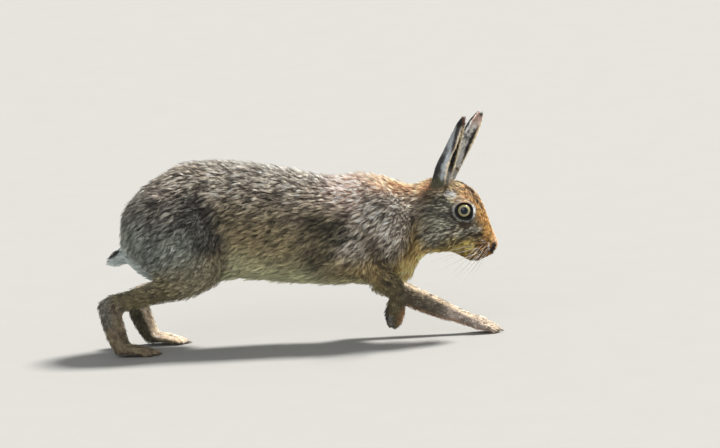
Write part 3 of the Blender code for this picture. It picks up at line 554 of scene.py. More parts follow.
# Marks on both sides of the head: start, end, half width, strength and fur.
FACE_MARKS = (
    ((497, 23, 163), (508, 20, 162), 4.8, 0.85, "umber"),
    ((484, 26, 158), (494, 24, 156), 2.6, 0.5, "umber"), ((489, 20, 199), (499, 18, 200), 3.6, 0.8, "brow"),
    ((479, 20, 206.5), (487, 18, 204.5), 3.4, 0.95, "bright"),
    ((482, 19, 207.5), (485, 19, 202.5), 0.8, 0.9, "spot"),
    ((476, 21, 203.5), (479.5, 22, 194), 1.6, 0.95, "spot"),
    ((482.5, 20, 199.5), (486, 22, 190), 1.7, 0.8, "umber"),
    ((492, 15, 207.5), (495.5, 16, 202.5), 1.7, 0.9, "umber"),
    ((470, 24, 199), (475, 24, 193), 1.4, 0.8, "spot"), ((466, 25, 206), (472, 24, 203), 1.4, 0.7, "spot"),
    ((484, 6, 227.5), (498, 8, 221), 1.6, 0.85, "spot"),
    ((504.5, 8, 211), (515.5, 7, 204), 1.8, 0.95, "spot"),
    ((500, 15, 202), (509.5, 14, 197.5), 1.3, 0.9, "umber"),
    ((513.5, 10, 199.5), (519.7, 10, 191), 1.7, 0.95, "spot"),
    ((521, 10, 188), (527, 9, 179), 1.5, 0.95, "spot"), ((530.5, 6, 175), (532, 6, 170), 1.1, 0.8, "spot"),
    ((497, 3, 219.5), (509, 3, 213), 1.7, 0.7, "umber"), ((522, 3, 197), (529, 3, 184), 1.2, 0.6, "umber"),
    ((511, 19, 155.5), (517, 17.5, 153), 3.4, 0.85, "lichen"),
    ((523, 14, 158), (521.5, 14, 152), 1.9, 0.9, "white"),
    ((511, 19, 146.5), (525, 15, 145.5), 2.4, 0.9, "spot"),
    ((503, 21, 150), (510, 19, 147), 2.0, 0.7, "spot"), ((525, 14, 137), (528, 13, 135), 1.8, 0.8, "white"),
    ((533, 11, 134.5), (532.6, 12, 124), 1.0, 0.95, "bright"),
    # A painted shadow along the mouth towards its corner, under the overhanging whisker pad.
    ((489, 20, 126.5), (511, 17, 131.5), 1.1, 0.6, "umber"),
    ((515, 17, 132), (521, 15, 120), 1.6, 0.6, "spot"),
    # The nostril, painted black as its dark skin and the shade in its opening.
    ((540, 7.5, 130.5), (538.5, 8, 122.5), 2.4, 0.95, "black"),
)

# Marks on the raised forepaw and the near hock, which the camera sees.
LEG_MARKS = (
    ((390.5, 56, 40), (391.5, 56, 31), 3.4, 0.95, "foot_grey"),
    ((399, 56, 35), (401, 56, 29), 1.8, 0.95, "spot"),
    ((3, 57, 80), (6, 58, 66), 3.2, 0.7, "umber"), ((-9, 52, 74), (-3, 52, 48), 3.6, 0.85, "foot_grey"),
    ((22, 57, 101), (52, 57, 103), 2.4, 0.6, "umber"), ((28, 57, 78), (62, 57, 86), 2.2, 0.45, "umber"),
    ((14, 58, 58), (20, 58, 36), 3.0, 0.6, "tan"), ((8, 58, 52), (11, 58, 30), 1.8, 0.5, "umber"),
)
# A mark's depth into the body counts less than its place on it.
MARK_WEIGHTS = (1.0, 0.4, 1.0)


def add_marks(points, shades, table):
    """Paint a table's soft strokes."""
    here = folded(points)
    noise = ripple(points, 3.0, 41)
    for start, end, half, strength, name in table:
        away = np.linalg.norm(from_stroke(here, start, end) * MARK_WEIGHTS, axis=1)
        away += 0.5 * half ** 0.5 * noise
        blend_shade(shades, falling(half * 0.6, half * 1.4, away) * strength, name)


def paint_legs(points, normals, shades):
    """Painted sunlight on the front edges of the left legs, the raised paw's dark sole, tan front and painted
    highlight on its wrist, and the legs' marks.
    """
    x, y, z = points.T
    left = smooth_step(8, 16, y) * falling(80, 94, z)
    # Painted sunlight: the left legs' edges that face the light from above and ahead, more on the hind leg and
    # less on the forepaw.
    front = smooth_step(0.28, 0.62, normals @ unit(np.array((0.82, 0.0, 0.57))) + 0.25 * (x < 200))
    front *= 1 - (x > 300) * (0.25 + 0.3 * smooth_step(495, 515, x))
    under = smooth_step(0.35, 0.8, -normals[:, 2]) * (x > 395)
    raised = falling(-24, -18, y) * (x > 372) * (x < 425)
    low = raised * falling(48, 60, z)
    sole = smooth_step(0.35, 0.75, normals @ unit(np.array((-0.85, 0.0, -0.5))))
    # A painted highlight down the front of the raised paw's wrist.
    wrist_highlight = raised * smooth_step(0.5, 0.8, normals[:, 0]) * smooth_step(47, 52, -y)
    wrist_highlight *= between(58, 68, 82, 92, z)
    blend_shade(shades, left * front, "sunlit_rim")
    blend_shade(shades, left * under * 0.7, "tan")
    blend_shade(shades, low * sole * 0.9, "black")
    blend_shade(shades, low * smooth_step(0.35, 0.7, normals[:, 0]) * 0.75, "tan")
    blend_shade(shades, wrist_highlight * 0.6, "foot_grey")
    marked = shades.copy()
    add_marks(points, marked, LEG_MARKS)
    shades += (marked - shades) * np.clip(-y / 10.0, 0.0, 1.0)[:, None, None]


def paint_tail(points, normals, shades):
    """The tail is black above and white below."""
    tail = falling(15, 22, points[:, 0]) * between(106, 112, 146, 151, points[:, 2])
    tail *= np.abs(points[:, 1]) < 24
    blend_shade(shades, tail, "tail_white")
    blend_shade(shades, tail * smooth_step(0.20, 0.55, normals[:, 2]), "black")


# The line of the mouth: turn in degrees from straight ahead round the jaw, and height.
MOUTH_LINE = ((0, 116.5), (30, 114.5), (60, 112.0), (90, 111.5), (115, 114.5), (135, 120.0))


def lip_height(points):
    """Height of the mouth's line beside each point."""
    turn = np.degrees(np.arctan2(np.abs(points[:, 1]), points[:, 0] - 506.0))
    rows = np.array(MOUTH_LINE, dtype=float)
    return np.interp(turn, rows[:, 0], rows[:, 1])


def paint_ears(points, places, on_ear, shades):
    """Ears: grey backs with a dark streak, black bands and tips, cream edges, and insides painted dark as the
    shade in their hollows.
    """
    height, edge, inside, turn = places
    left = points[:, 1] > 0
    camera_side = turn < 0
    outside = 1 - inside
    low = smooth_step(0.05, 0.20, height)
    noise = ripple(points, 6.0, 12)
    fine = ripple(points, 2.4, 13)
    whole = on_ear * smooth_step(0.0, 0.09, height + 0.02 * fine)

    def paint(share, name):
        blend_shade(shades, whole * share, name)

    paint(low, "ear_grey")
    base = falling(0.16, 0.40, height + 0.04 * noise + 0.03 * fine) * outside
    paint(base * smooth_step(0.0, 0.06, height), "ear_base")
    strip = camera_side * smooth_step(1.0, 2.2, edge) * falling(6.5, 9.0, edge + 0.8 * fine)
    strip *= between(0.14, 0.22, 0.5, 0.62, height) * outside
    paint(strip * 0.85, "ear_pale")
    streak = falling(0.36, 0.62, np.abs(np.abs(turn) - 2.15) + 0.1 * noise)
    streak *= smooth_step(0.12, 0.24, height) * falling(0.50, 0.66, height + 0.05 * noise)
    paint(streak * outside * 0.95, "ear_streak")
    band = 0.5 + 1.9 * smooth_step(0.35, 0.85, height)
    band = falling(band, band + 1.3, np.abs(edge - 2.6 - band) + 0.4 * noise)
    paint(band * outside * smooth_step(0.45, 0.62, height) * 0.95, "ear_streak")
    paint(inside * low, "ear_fuzz")
    # Painted shade: each ear's inside is darkened as the shade in its hollow.
    paint(inside * smooth_step(0.16, 0.32, height + 0.03 * fine) * 0.97, "ear_hollow_shade")
    # Pale fuzz covers the far ear's inside, except for a strip along its front edge that keeps the painted
    # shade of the opening.
    slit = np.interp(height, (0.28, 0.38, 0.55, 0.75, 0.82), (0.0, 4.0, 7.5, 5.5, 0.0))
    front = smooth_step(slit - 0.8, slit + 0.8, np.where(turn > 0, edge, 99.0) + 0.8 * fine)
    fuzz = left * inside * np.where(turn > 0, front, 1.0)
    fuzz = np.maximum(fuzz, left * camera_side * falling(3.0, 5.0, edge + 0.6 * fine))
    paint(fuzz * low * 0.95, "ear_fuzz")
    patches = smooth_step(-0.1, 0.35, fine + 0.4 * noise) * smooth_step(0.45, 0.58, height)
    paint(fuzz * patches * falling(0.84, 0.9, height) * 0.9, "ear_streak")
    thin = np.where(left, 0.7, 1.3)
    fringe = falling(thin - 0.3, thin + 0.9, edge + 0.3 * noise) * low
    paint(fringe * (1 - left * camera_side * 0.7), "ear_cream")
    tip = smooth_step(0.86, 0.91, height + 0.015 * noise)
    paint(tip * outside, "black")
    paint(~left * smooth_step(0.84, 0.89, height) * inside, "ear_brown")
    pink = left * inside * smooth_step(0.80, 0.88, height + 0.03 * fine)
    paint(np.maximum(pink, left * tip * (edge < 2.5)), "ear_tan")
    paint(left * smooth_step(0.935, 0.965, height) * smooth_step(526.0, 529.0, points[:, 0]), "black")


def lay_ears(points, places, on_ear, lie, length, depth):
    """The hair runs up each ear and fans out at the near one's edges; the head's rises round its foot."""
    height, edge, _, _ = places
    for side, stations in EARS.items():
        own_side = points[:, 1] * side > 0
        own = on_ear & own_side
        rows = np.array(stations, dtype=float)
        outwards = np.array((*EAR_OPENING[side], 0.0)) * falling(1.5, 3.0, edge[own])[:, None]
        lie[own] = unit(rows[-1, :3] - rows[0, :3]) + outwards * (side < 0) * 0.8
        away = np.linalg.norm((points[:, :2] - rows[0, :2]) / rows[0, 3], axis=1)
        skirt = falling(1.2, 1.9, away) * own_side * ~on_ear * (points[:, 2] > 196)
        lie += (unit(rows[2, :3] - rows[0, :3]) - unit(lie)) * skirt[:, None] * 0.8
        length += (SKIRT_LENGTH - length) * skirt
    low_down = falling(0.06, 0.2, height[on_ear])
    length[on_ear] = np.where(edge[on_ear] < 3.0, 5.0, 4.0) + 3.0 * low_down
    depth[on_ear] = 0.35 + 1.2 * low_down


def bare_at(points, on_ear):
    """Where no hair grows: the eyes' margins, the nostrils and the line of the mouth."""
    eye, reach = eye_places(points)
    bare = (eye[:, 2] > EYE_DEEPEST) & (reach < BARE_RADIUS)
    bare |= nostril_share(points) > 0.25
    line = np.abs(points[:, 2] - lip_height(points)) < 0.9
    bare |= (points[:, 0] > 500) & line & (points[:, 2] < 122)
    return bare & ~on_ear


# A nostril's slit from end to end, and the middle and half sizes of the hollow beside it, which is painted
# dark as its shade.
NOSTRIL = ((545.5, 3.2, 124.5), (545.2, 5.2, 126.5), (543.2, 7.0, 128.5), (540.5, 8.0, 129.0))
NOSTRIL_WING = np.array((538.0, 8.0, 122.6))
WING_SIZE = np.array((4.6, 6.6, 6.4))


def nostril_share(points):
    """1 in a nostril and in the shaded hollow beside it, falling to 0 a little outside them."""
    here = folded(points)
    least = np.full(len(points), 99.0)
    for start, end in zip(NOSTRIL[:-1], NOSTRIL[1:]):
        least = np.minimum(least, np.linalg.norm(from_stroke(here, start, end), axis=1))
    wing = np.linalg.norm((here - NOSTRIL_WING) / WING_SIZE, axis=1)
    return np.maximum(falling(1.4, 2.6, least), falling(0.8, 1.1, wing))


class Socket:
    """A shader value that ordinary arithmetic adds Math nodes to."""

    def __init__(self, shader, output):
        self.shader = shader
        self.output = output

    def _math(self, operation, first, second):
        return self.shader.node("ShaderNodeMath", {"operation": operation}, {0: first, 1: second})

    def __add__(self, other):
        return self._math("ADD", self, other)

    __radd__ = __add__

    def __sub__(self, other):
        return self._math("SUBTRACT", self, other)

    def __rsub__(self, other):
        return self._math("SUBTRACT", other, self)

    def __mul__(self, other):
        return self._math("MULTIPLY", self, other)

    __rmul__ = __mul__


class Finish:
    """A material with one Principled shader, and one method for any other node."""

    def __init__(self, name, **constants):
        self.material = bpy.data.materials.new(name)
        self.material.use_nodes = True
        self.nodes = self.material.node_tree.nodes
        self.links = self.material.node_tree.links
        self.nodes.clear()
        self.output = self.nodes.new("ShaderNodeOutputMaterial")
        self.shader = self.nodes.new("ShaderNodeBsdfPrincipled")
        self.links.new(self.shader.outputs[0], self.output.inputs[0])
        for socket, value in constants.items():
            self.shader.inputs[socket.replace("_", " ")].default_value = value

    def node(self, kind, settings=None, inputs=None, output=0):
        node = self.nodes.new(kind)
        for key, value in (settings or {}).items():
            if key == "stops":
                while len(node.color_ramp.elements) < len(value):
                    node.color_ramp.elements.new(0.5)
                for element, (place, colour) in zip(node.color_ramp.elements, value):
                    element.position = place
                    element.color = colour
            else:
                setattr(node, key, value)
        for key, value in (inputs or {}).items():
            if isinstance(value, Socket):
                self.links.new(value.output, node.inputs[key])
            else:
                node.inputs[key].default_value = value
        return Socket(self, node.outputs[output])

    def wander(self, scale, detail, colours):
        """Let the colour wander between two display colours."""
        inputs = {0: self.noise(scale, detail), 6: rgba(colours[0]), 7: rgba(colours[1])}
        self.feed("Base Color", self.node("ShaderNodeMix", {"data_type": "RGBA"}, inputs, 2))

    def tint(self, colour, value):
        """A colour made lighter or darker by a value."""
        pair = {0: colour, 1: self.node("ShaderNodeCombineXYZ", None, {0: value, 1: value, 2: value})}
        return self.node("ShaderNodeVectorMath", {"operation": "MULTIPLY"}, pair)

    def place(self):
        return self.node("ShaderNodeTexCoord", None, None, 3)

    def noise(self, scale, detail=2.0):
        settings = {"Vector": self.place(), "Scale": scale, "Detail": detail}
        return self.node("ShaderNodeTexNoise", None, settings)

    def bump(self, height, strength, distance):
        inputs = {"Height": height, "Strength": strength, "Distance": distance}
        normal = self.node("ShaderNodeBump", None, inputs)
        self.links.new(normal.output, self.shader.inputs["Normal"])

    def feed(self, socket, value):
        self.links.new(value.output, self.shader.inputs[socket])


def rgba(colour):
    return (*[float(part) for part in linear(colour)], 1.0)


def new_object(name, mesh):
    piece = bpy.data.objects.new(name, mesh)
    bpy.context.collection.objects.link(piece)
    return piece


def object_from_bmesh(name, work):
    mesh = bpy.data.meshes.new(name)
    work.to_mesh(mesh)
    work.free()
    return new_object(name, mesh)


def bake_modifiers(piece):
    """Put the result of a piece's modifiers into its own mesh."""
    graph = bpy.context.evaluated_depsgraph_get()
    mesh = bpy.data.meshes.new_from_object(piece.evaluated_get(graph))
    piece.modifiers.clear()
    old = piece.data
    piece.data = mesh
    bpy.data.meshes.remove(old)


def smooth_faces(mesh):
    mesh.polygons.foreach_set("use_smooth", np.ones(len(mesh.polygons), dtype=bool))
    mesh.update()


def vertex_rows(mesh):
    points = np.empty(len(mesh.vertices) * 3, dtype=np.float32)
    mesh.vertices.foreach_get("co", points)
    normals = np.empty(len(mesh.vertices) * 3, dtype=np.float32)
    mesh.vertex_normals.foreach_get("vector", normals)
    return points.reshape(-1, 3).astype(float), normals.reshape(-1, 3).astype(float)


def merged_nodes(names, grow):
    """One bmesh of copies of the named nodes, merged, and grown so that neighbours overlap."""
    work = bmesh.new()
    for name in names:
        single = bmesh.new()
        single.from_mesh(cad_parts[name].data)
        bmesh.ops.remove_doubles(single, verts=single.verts, dist=1e-6)
        single.normal_update()
        for vertex in single.verts:
            vertex.co += vertex.normal * grow
        mesh = bpy.data.meshes.new("part")
        single.to_mesh(mesh)
        single.free()
        work.from_mesh(mesh)
        bpy.data.meshes.remove(mesh)
    return work


def fine_zone(points):
    """Where the head's mesh is finest: round the eyes, and over the nose and the mouth."""
    eye, _ = eye_places(points)
    eyes = (np.hypot(eye[:, 0], eye[:, 1]) < 19) & (eye[:, 2] > -8)
    return eyes | (points[:, 0] > 512) & (points[:, 2] < 140)


def refine(piece, chosen):
    """Split the edges between chosen vertices once."""
    work = bmesh.new()
    work.from_mesh(piece.data)
    marks = chosen(to_hare([vertex.co for vertex in work.verts]))
    edges = [edge for edge in work.edges if marks[edge.verts[0].index] and marks[edge.verts[1].index]]
    bmesh.ops.subdivide_edges(work, edges=edges, cuts=1, use_grid_fill=True)
    bmesh.ops.triangulate(work, faces=[face for face in work.faces if len(face.verts) > 4])
    work.to_mesh(piece.data)
    work.free()


def neighbour_mean(values, edges):
    """The mean of each vertex's neighbours."""
    count = len(values)
    total = np.zeros_like(values)
    for column in range(values.shape[1]):
        total[:, column] += np.bincount(edges[:, 0], values[edges[:, 1], column], count)
        total[:, column] += np.bincount(edges[:, 1], values[edges[:, 0], column], count)
    number = np.bincount(edges.ravel(), minlength=count)[:, None]
    return total / np.maximum(number, 1)


def set_vertices(mesh, points):
    mesh.vertices.foreach_set("co", points.astype(np.float32).ravel())
    mesh.update()


def mesh_edges(mesh):
    edges = np.empty(len(mesh.edges) * 2, dtype=np.int32)
    mesh.edges.foreach_get("vertices", edges)
    return edges.reshape(-1, 2)


def relax(values, edges, rounds):
    """Ease values towards the mean of their neighbours, half way each round."""
    for _ in range(rounds):
        values = values + (neighbour_mean(values, edges) - values) * 0.5
    return values


def fit_head(piece):
    """Draw the head's finer mesh back onto the modelled head, with its lids, lips and nostrils."""
    head = merged_nodes(["head"], 0.0)
    tree = BVHTree.FromBMesh(head)
    points, _ = vertex_rows(piece.data)
    share = smooth_step(*HEAD_BEGINS, to_hare(points)[:, 0])
    for index in np.nonzero(share > 0)[0]:
        near, _, _, distance = tree.find_nearest(Vector(points[index]))
        if near is not None and distance < HEAD_NEAR:
            points[index] += (np.array(near) - points[index]) * share[index]
    head.free()
    eased = relax(points, mesh_edges(piece.data), 2)
    set_vertices(piece.data, np.where(share[:, None] > 0, eased, points))


# The fold where the thigh's front edge lies over the flank: place x, y, z down its length.
FOLD = (
    (122, 46, 232), (128, 56, 212), (138, 60, 190), (149, 59, 168), (157, 56, 150), (157, 48, 130),
    (150, 40, 116),
)
# The far haunch stands this much further forwards.
FAR_HAUNCH = 18.0
# The fold's groove, and the swell behind it: how far forwards its middle lies, width and depth.
GROOVE = (3.0, 6.5, 6.0)
SWELL = (-12.0, 9.0, 3.2)


def fold_depth(hare):
    """How far the skin sinks along the fold in front of each haunch, and swells just behind it."""
    here = folded(hare)
    here[hare[:, 1] > 0, 0] -= FAR_HAUNCH
    least = np.full(len(here), 99.0)
    signed = np.full(len(here), 99.0)
    for start, end in zip(FOLD[:-1], FOLD[1:]):
        away = from_stroke(here, start, end)
        gap = np.linalg.norm(away, axis=1)
        nearer = gap < least
        least = np.where(nearer, gap, least)
        signed = np.where(nearer, np.where(away[:, 0] + 0.35 * away[:, 2] > 0, gap, -gap), signed)
    groove = GROOVE[2] * bell(signed, *GROOVE[:2])
    swell = SWELL[2] * bell(signed, *SWELL[:2])
    return (groove - swell) * falling(225, 240, hare[:, 2])


def sink(piece):
    """Move the skin inwards by the depth of the coat that grows on it."""
    points, normals = vertex_rows(piece.data)
    edges = mesh_edges(piece.data)
    normals = unit(relax(normals, edges, 6))
    hare = to_hare(points)
    _, _, depth, _, _ = coat_at(hare, normals, np.zeros(len(points), dtype=bool))
    depth = relax(depth[:, None], edges, 3)[:, 0] + fold_depth(hare)
    moved = hare - normals * depth[:, None]
    body = falling(440, 470, hare[:, 0])
    moved += (relax(moved, edges, 6) - moved) * body[:, None]
    moved[:, 2] = np.maximum(moved[:, 2], SKIN_FLOOR)
    set_vertices(piece.data, to_metres(moved))


def make_ear(side):
    """A finer copy of one ear, its foot pushed down into the head."""
    piece = object_from_bmesh("ear_copy", merged_nodes(["ear_left" if side > 0 else "ear_right"], 0.0))
    finer = piece.modifiers.new("finer", "SUBSURF")
    finer.levels = 1
    finer.render_levels = 1
    bake_modifiers(piece)
    points, normals = vertex_rows(piece.data)
    hare = to_hare(points)
    foot = EARS[side][0][2]
    low = falling(foot, foot + 7, hare[:, 2])
    hare += low[:, None] * np.array((-2.5, 0.0, -7.0))
    height, edge, _, turn = ear_places(hare, normals)
    middle_x, middle_y, radius, _ = ear_station(side, hare[:, 2])
    pull = ear_pull(side, height, turn)
    swing = pull / radius * falling(0.0, 12.0, edge - pull)
    away_x = hare[:, 0] - middle_x
    away_y = hare[:, 1] - middle_y
    hare[:, 0] = middle_x + away_x * np.cos(swing) - away_y * np.sin(swing)
    hare[:, 1] = middle_y + away_x * np.sin(swing) + away_y * np.cos(swing)
    if side < 0:
        hare[:, 0] -= NEAR_EAR_SWELL * bell(height, 0.36, 0.16) * (away_x < 0)
    set_vertices(piece.data, to_metres(hare))
    return piece


def unwrap(piece, layer):
    """An unwrap of the piece's own shape, into a named layer."""
    mesh = piece.data
    mesh.uv_layers.new(name=layer)
    mesh.uv_layers.active = mesh.uv_layers[layer]
    bpy.context.view_layer.objects.active = piece
    bpy.ops.object.select_all(action="DESELECT")
    piece.select_set(True)
    bpy.ops.object.mode_set(mode="EDIT")
    bpy.ops.mesh.select_mode(type="FACE")
    bpy.ops.mesh.select_all(action="SELECT")
    bpy.ops.uv.smart_project(angle_limit=math.radians(66), island_margin=0.001)
    bpy.ops.object.mode_set(mode="OBJECT")
    piece.select_set(False)


def paint_attribute(mesh, name, colours):
    layer = mesh.color_attributes.new(name, "FLOAT_COLOR", "POINT")
    rows = np.ones((len(colours), 4), dtype=np.float32)
    rows[:, :3] = colours
    layer.data.foreach_set("color", rows.ravel())


def ear_flags(points):
    """Which points are on an ear's sheet: above the head, or within 3 mm of an ear's wall near its foot."""
    wall = np.zeros(len(points), dtype=bool)
    for side, stations in EARS.items():
        middle_x, middle_y, radius, _ = ear_station(side, points[:, 2])
        away = np.hypot(points[:, 0] - middle_x, points[:, 1] - middle_y)
        high = points[:, 2] > stations[0][2] + 6
        wall |= (np.abs(away - radius) < 3) & high & (points[:, 1] * side > 0)
    wall &= (points[:, 0] > 450) & (points[:, 0] < 494)
    return wall | (points[:, 2] > 235) & (points[:, 0] > 454)


class HareSettings(bpy.types.PropertyGroup):
    """Sizes and shares that a user would change."""

    skin_grain: bpy.props.FloatProperty(
        name="Skin grain", description="Size of the skin's mesh over the body",
        default=0.0025, min=0.001, max=0.01, unit="LENGTH",
    )
    hair_share: bpy.props.FloatProperty(
        name="Hair share", description="Share of the full number of tufts that is grown",
        default=1.0, min=0.05, max=1.0, subtype="FACTOR",
    )
    hair_width: bpy.props.FloatProperty(
        name="Hair width", description="Width of a body tuft at its root",
        default=0.00115, min=0.0002, max=0.004, unit="LENGTH",
    )
    clump_size: bpy.props.FloatProperty(
        name="Clump size", description="Distance between the middles of two locks on the body",
        default=0.0085, min=0.002, max=0.03, unit="LENGTH",
    )
    whisker_length: bpy.props.FloatProperty(
        name="Whisker length", description="Length of the longest whiskers",
        default=0.062, min=0.01, max=0.12, unit="LENGTH",
    )
    iris_colour: bpy.props.FloatVectorProperty(
        name="Iris", description="Colour of the iris", subtype="COLOR", size=3,
        default=tuple(linear((166, 154, 112))), min=0.0, max=1.0,
    )
    floor_colour: bpy.props.FloatVectorProperty(
        name="Floor", description="Colour of the studio floor", subtype="COLOR", size=3,
        default=tuple(linear((143, 143, 141))), min=0.0, max=1.0,
    )


class HARE_OT_stage(bpy.types.Operator):
    """Set up the pale floor, the soft lights and the camera"""

    bl_idname = "hare.stage"
    bl_label = "Stage"

    def execute(self, context):
        add_camera()
        add_floor(context.scene.hare_settings.floor_colour)
        add_lights()
        return {"FINISHED"}


def add_camera():
    rise = (0.0, math.sin(CAMERA_RISE), math.cos(CAMERA_RISE))
    right = Vector((1.0, 0.0, 0.0)) * math.cos(CAMERA_ROLL) - Vector(rise) * math.sin(CAMERA_ROLL)
    up = Vector((1.0, 0.0, 0.0)) * math.sin(CAMERA_ROLL) + Vector(rise) * math.cos(CAMERA_ROLL)
    back = right.cross(up)
    middle = Vector(CAMERA_ANCHOR)
    middle += right * (PHOTO_WIDTH / 2 - ANCHOR_PIXEL[0]) * CAMERA_SCALE
    middle += up * (ANCHOR_PIXEL[1] - PHOTO_MIDDLE_ROW) * CAMERA_SCALE
    place = Vector(to_metres(middle)) + back * CAMERA_AWAY
    data = bpy.data.cameras.new("photo_view")
    data.sensor_width = SENSOR_WIDTH
    data.lens = SENSOR_WIDTH * CAMERA_AWAY / (PHOTO_WIDTH * CAMERA_SCALE / 1000)
    data.clip_start = 0.1
    data.clip_end = 200.0
    camera = bpy.data.objects.new("photo_view", data)
    turn = Matrix((right, up, back)).transposed()
    camera.matrix_world = Matrix.Translation(place) @ turn.to_4x4()
    bpy.context.collection.objects.link(camera)
    bpy.context.scene.camera = camera


def add_floor(colour):
    work = bmesh.new()
    bmesh.ops.create_circle(work, cap_ends=True, cap_tris=True, segments=64, radius=FLOOR_RADIUS)
    bmesh.ops.translate(work, verts=work.verts, vec=(0.0, 0.0, -FLOOR_DROP))
    floor = object_from_bmesh("studio_floor", work)
    finish = Finish("studio_floor", Roughness=0.9, Specular_IOR_Level=0.2)
    grain = finish.noise(14.0, 3.0)
    finish.feed("Base Color", finish.tint(tuple(colour), 0.98 + grain * 0.04))
    floor.data.materials.append(finish.material)


# Lights: name, place, what it points at, strength, softness in degrees, colour; then the sky.
LIGHTS = (
    ("key_light", (1.35, 0.85, 2.4), (0.0, 0.0, 0.15), 8.2, 12, (1.0, 0.97, 0.92)),
    ("front_fill", (-0.6, -2.6, 1.6), (0.0, 0.0, 0.15), 1.1, 40, (1.0, 0.985, 0.95)),
)
SKY_COLOUR = (0.98, 0.985, 1.0, 1.0)
SKY_STRENGTH = 0.5


def add_lights():
    for name, place, target, strength, softness, colour in LIGHTS:
        data = bpy.data.lights.new(name, "SUN")
        data.energy = strength
        data.angle = math.radians(softness)
        data.color = colour
        lamp = bpy.data.objects.new(name, data)
        lamp.location = place
        aim = Vector(target) - Vector(place)
        lamp.rotation_euler = aim.to_track_quat("-Z", "Y").to_euler()
        bpy.context.collection.objects.link(lamp)
    world = bpy.data.worlds.new("studio_air")
    world.use_nodes = True
    sky = world.node_tree.nodes["Background"]
    sky.inputs["Color"].default_value = SKY_COLOUR
    sky.inputs["Strength"].default_value = SKY_STRENGTH
    bpy.context.scene.world = world
    bpy.context.scene.view_settings.view_transform = "Standard"


class HARE_OT_skin(bpy.types.Operator):
    """Make the one skin that replaces the nodes of flesh and the ears"""

    bl_idname = "hare.skin"
    bl_label = "Skin"

    def execute(self, context):
        settings = context.scene.hare_settings
        skin = object_from_bmesh("skin", merged_nodes(FLESH, NODE_OVERLAP))
        remesh = skin.modifiers.new("even", "REMESH")
        remesh.mode = "VOXEL"
        remesh.voxel_size = settings.skin_grain
        ease = skin.modifiers.new("ease", "SMOOTH")
        ease.factor = 0.5
        ease.iterations = 3
        bake_modifiers(skin)
        refine(skin, lambda points: points[:, 0] > HEAD_BEGINS[0])
        refine(skin, fine_zone)
        fit_head(skin)
        sink(skin)
        for side in (-1, 1):
            ear = make_ear(side)
            weld = skin.modifiers.new("weld", "BOOLEAN")
            weld.operation = "UNION"
            weld.solver = "MANIFOLD"
            weld.object = ear
            before = len(skin.data.vertices)
            bake_modifiers(skin)
            if len(skin.data.vertices) <= before:
                raise RuntimeError("an ear did not join the skin")
            bpy.data.objects.remove(ear)
        skin.data.name = "skin"
        paint_skin(skin)
        unwrap(skin, "OFBake")
        smooth_faces(skin.data)
        skin.data.materials.clear()
        skin.data.materials.append(skin_finish())
        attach(skin, "root")
        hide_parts(*FLESH, "ear_left", "ear_right")
        return {"FINISHED"}


# Display colours of the nostrils and the lips, each their dark bare skin with painted shade in the nostrils'
# openings and hollows and in the mouth's slit, and the share of the hair's band in the skin's colour.
NOSTRIL_SHADE_COLOUR = (22, 17, 15)
LIP_SHADE_COLOUR = (64, 46, 36)
BAND_SHARE = 0.28


def paint_skin(skin):
    """The skin's colours: the coat's, with dark nostrils and lips, which also carry painted shade in the
    nostrils' openings and hollows and in the mouth's slit.
    """
    points, normals = vertex_rows(skin.data)
    hare = to_hare(points)
    on_ear = ear_flags(hare)
    _, _, _, shades, _ = coat_at(hare, normals, on_ear)
    colours = shades[:, 0] * (1 - BAND_SHARE) + shades[:, 1] * BAND_SHARE
    colours *= (1 + 0.22 * ripple(hare, 7.0, 5))[:, None]
    # Nostrils and the hollows beside them: dark bare skin with painted shade in the openings.
    colours += (linear(NOSTRIL_SHADE_COLOUR) - colours) * nostril_share(hare)[:, None]
    # Along the mouth's line: dark lips with painted shade in the slit under the upper lip.
    lips = falling(0.6, 1.8, np.abs(hare[:, 2] - lip_height(hare)))
    lips *= (hare[:, 0] > 500) & (hare[:, 2] < 124) & ~on_ear
    colours += (linear(LIP_SHADE_COLOUR) - colours) * lips[:, None] * 0.85
    paint_attribute(skin.data, "coat", colours)


def skin_finish():
    finish = Finish("skin_fur", Specular_IOR_Level=0.25)
    colour = finish.node("ShaderNodeAttribute", {"attribute_name": "coat"})
    stretch = finish.node(
        "ShaderNodeMapping", None, {"Vector": finish.place(), "Scale": (220.0, 900.0, 900.0)}
    )
    hairs = finish.node("ShaderNodeTexNoise", None, {"Vector": stretch, "Scale": 1.0, "Detail": 3.0})
    finish.feed("Base Color", finish.tint(colour, 0.72 + hairs * 0.56))
    finish.feed("Roughness", 0.62 + hairs * 0.2)
    finish.bump(hairs, 0.55, 0.0008)
    return finish.material


# Fields of tufts: name, material slot, number, width and lock size as shares of the settings, and how
# much the light and dark of the locks and of the single tufts vary.
FIELDS = (
    ("body", "body_fur", 86000, 0.72, 0.36, 0.34, 0.26),
    ("head", "head_fur", 30000, 0.50, 0.30, 0.42, 0.30),
    ("ear", "ear", 9000, 0.42, 0.30, 0.12, 0.16),
    ("leg", "leg_fur", 17000, 0.60, 0.50, 0.22, 0.26),
)
BODY, HEAD, EAR, LEG = range(4)
# The most triangles in one piece of the coat.
PIECE_TRIANGLES = 192000

# A tuft has three corners at its root, three half way up and one at its tip.
TUFT_FACES = np.array((
    (0, 1, 2), (0, 3, 1), (1, 3, 4), (1, 4, 2), (2, 4, 5), (2, 5, 0), (0, 5, 3),
    (3, 6, 4), (4, 6, 5), (5, 6, 3),
))
TUFT_CORNERS = 7
TUFT_STAGES = (0.0, 0.5, 1.0)
TUFT_TAPER = (1.0, 0.72)
# How much locks and single tufts turn, in radians, and how much locks' rise and tufts' length vary.
LOCK_TURN = 0.20
TUFT_TURN = 0.10
LOCK_RISE = 0.20
TUFT_LENGTH = 0.16
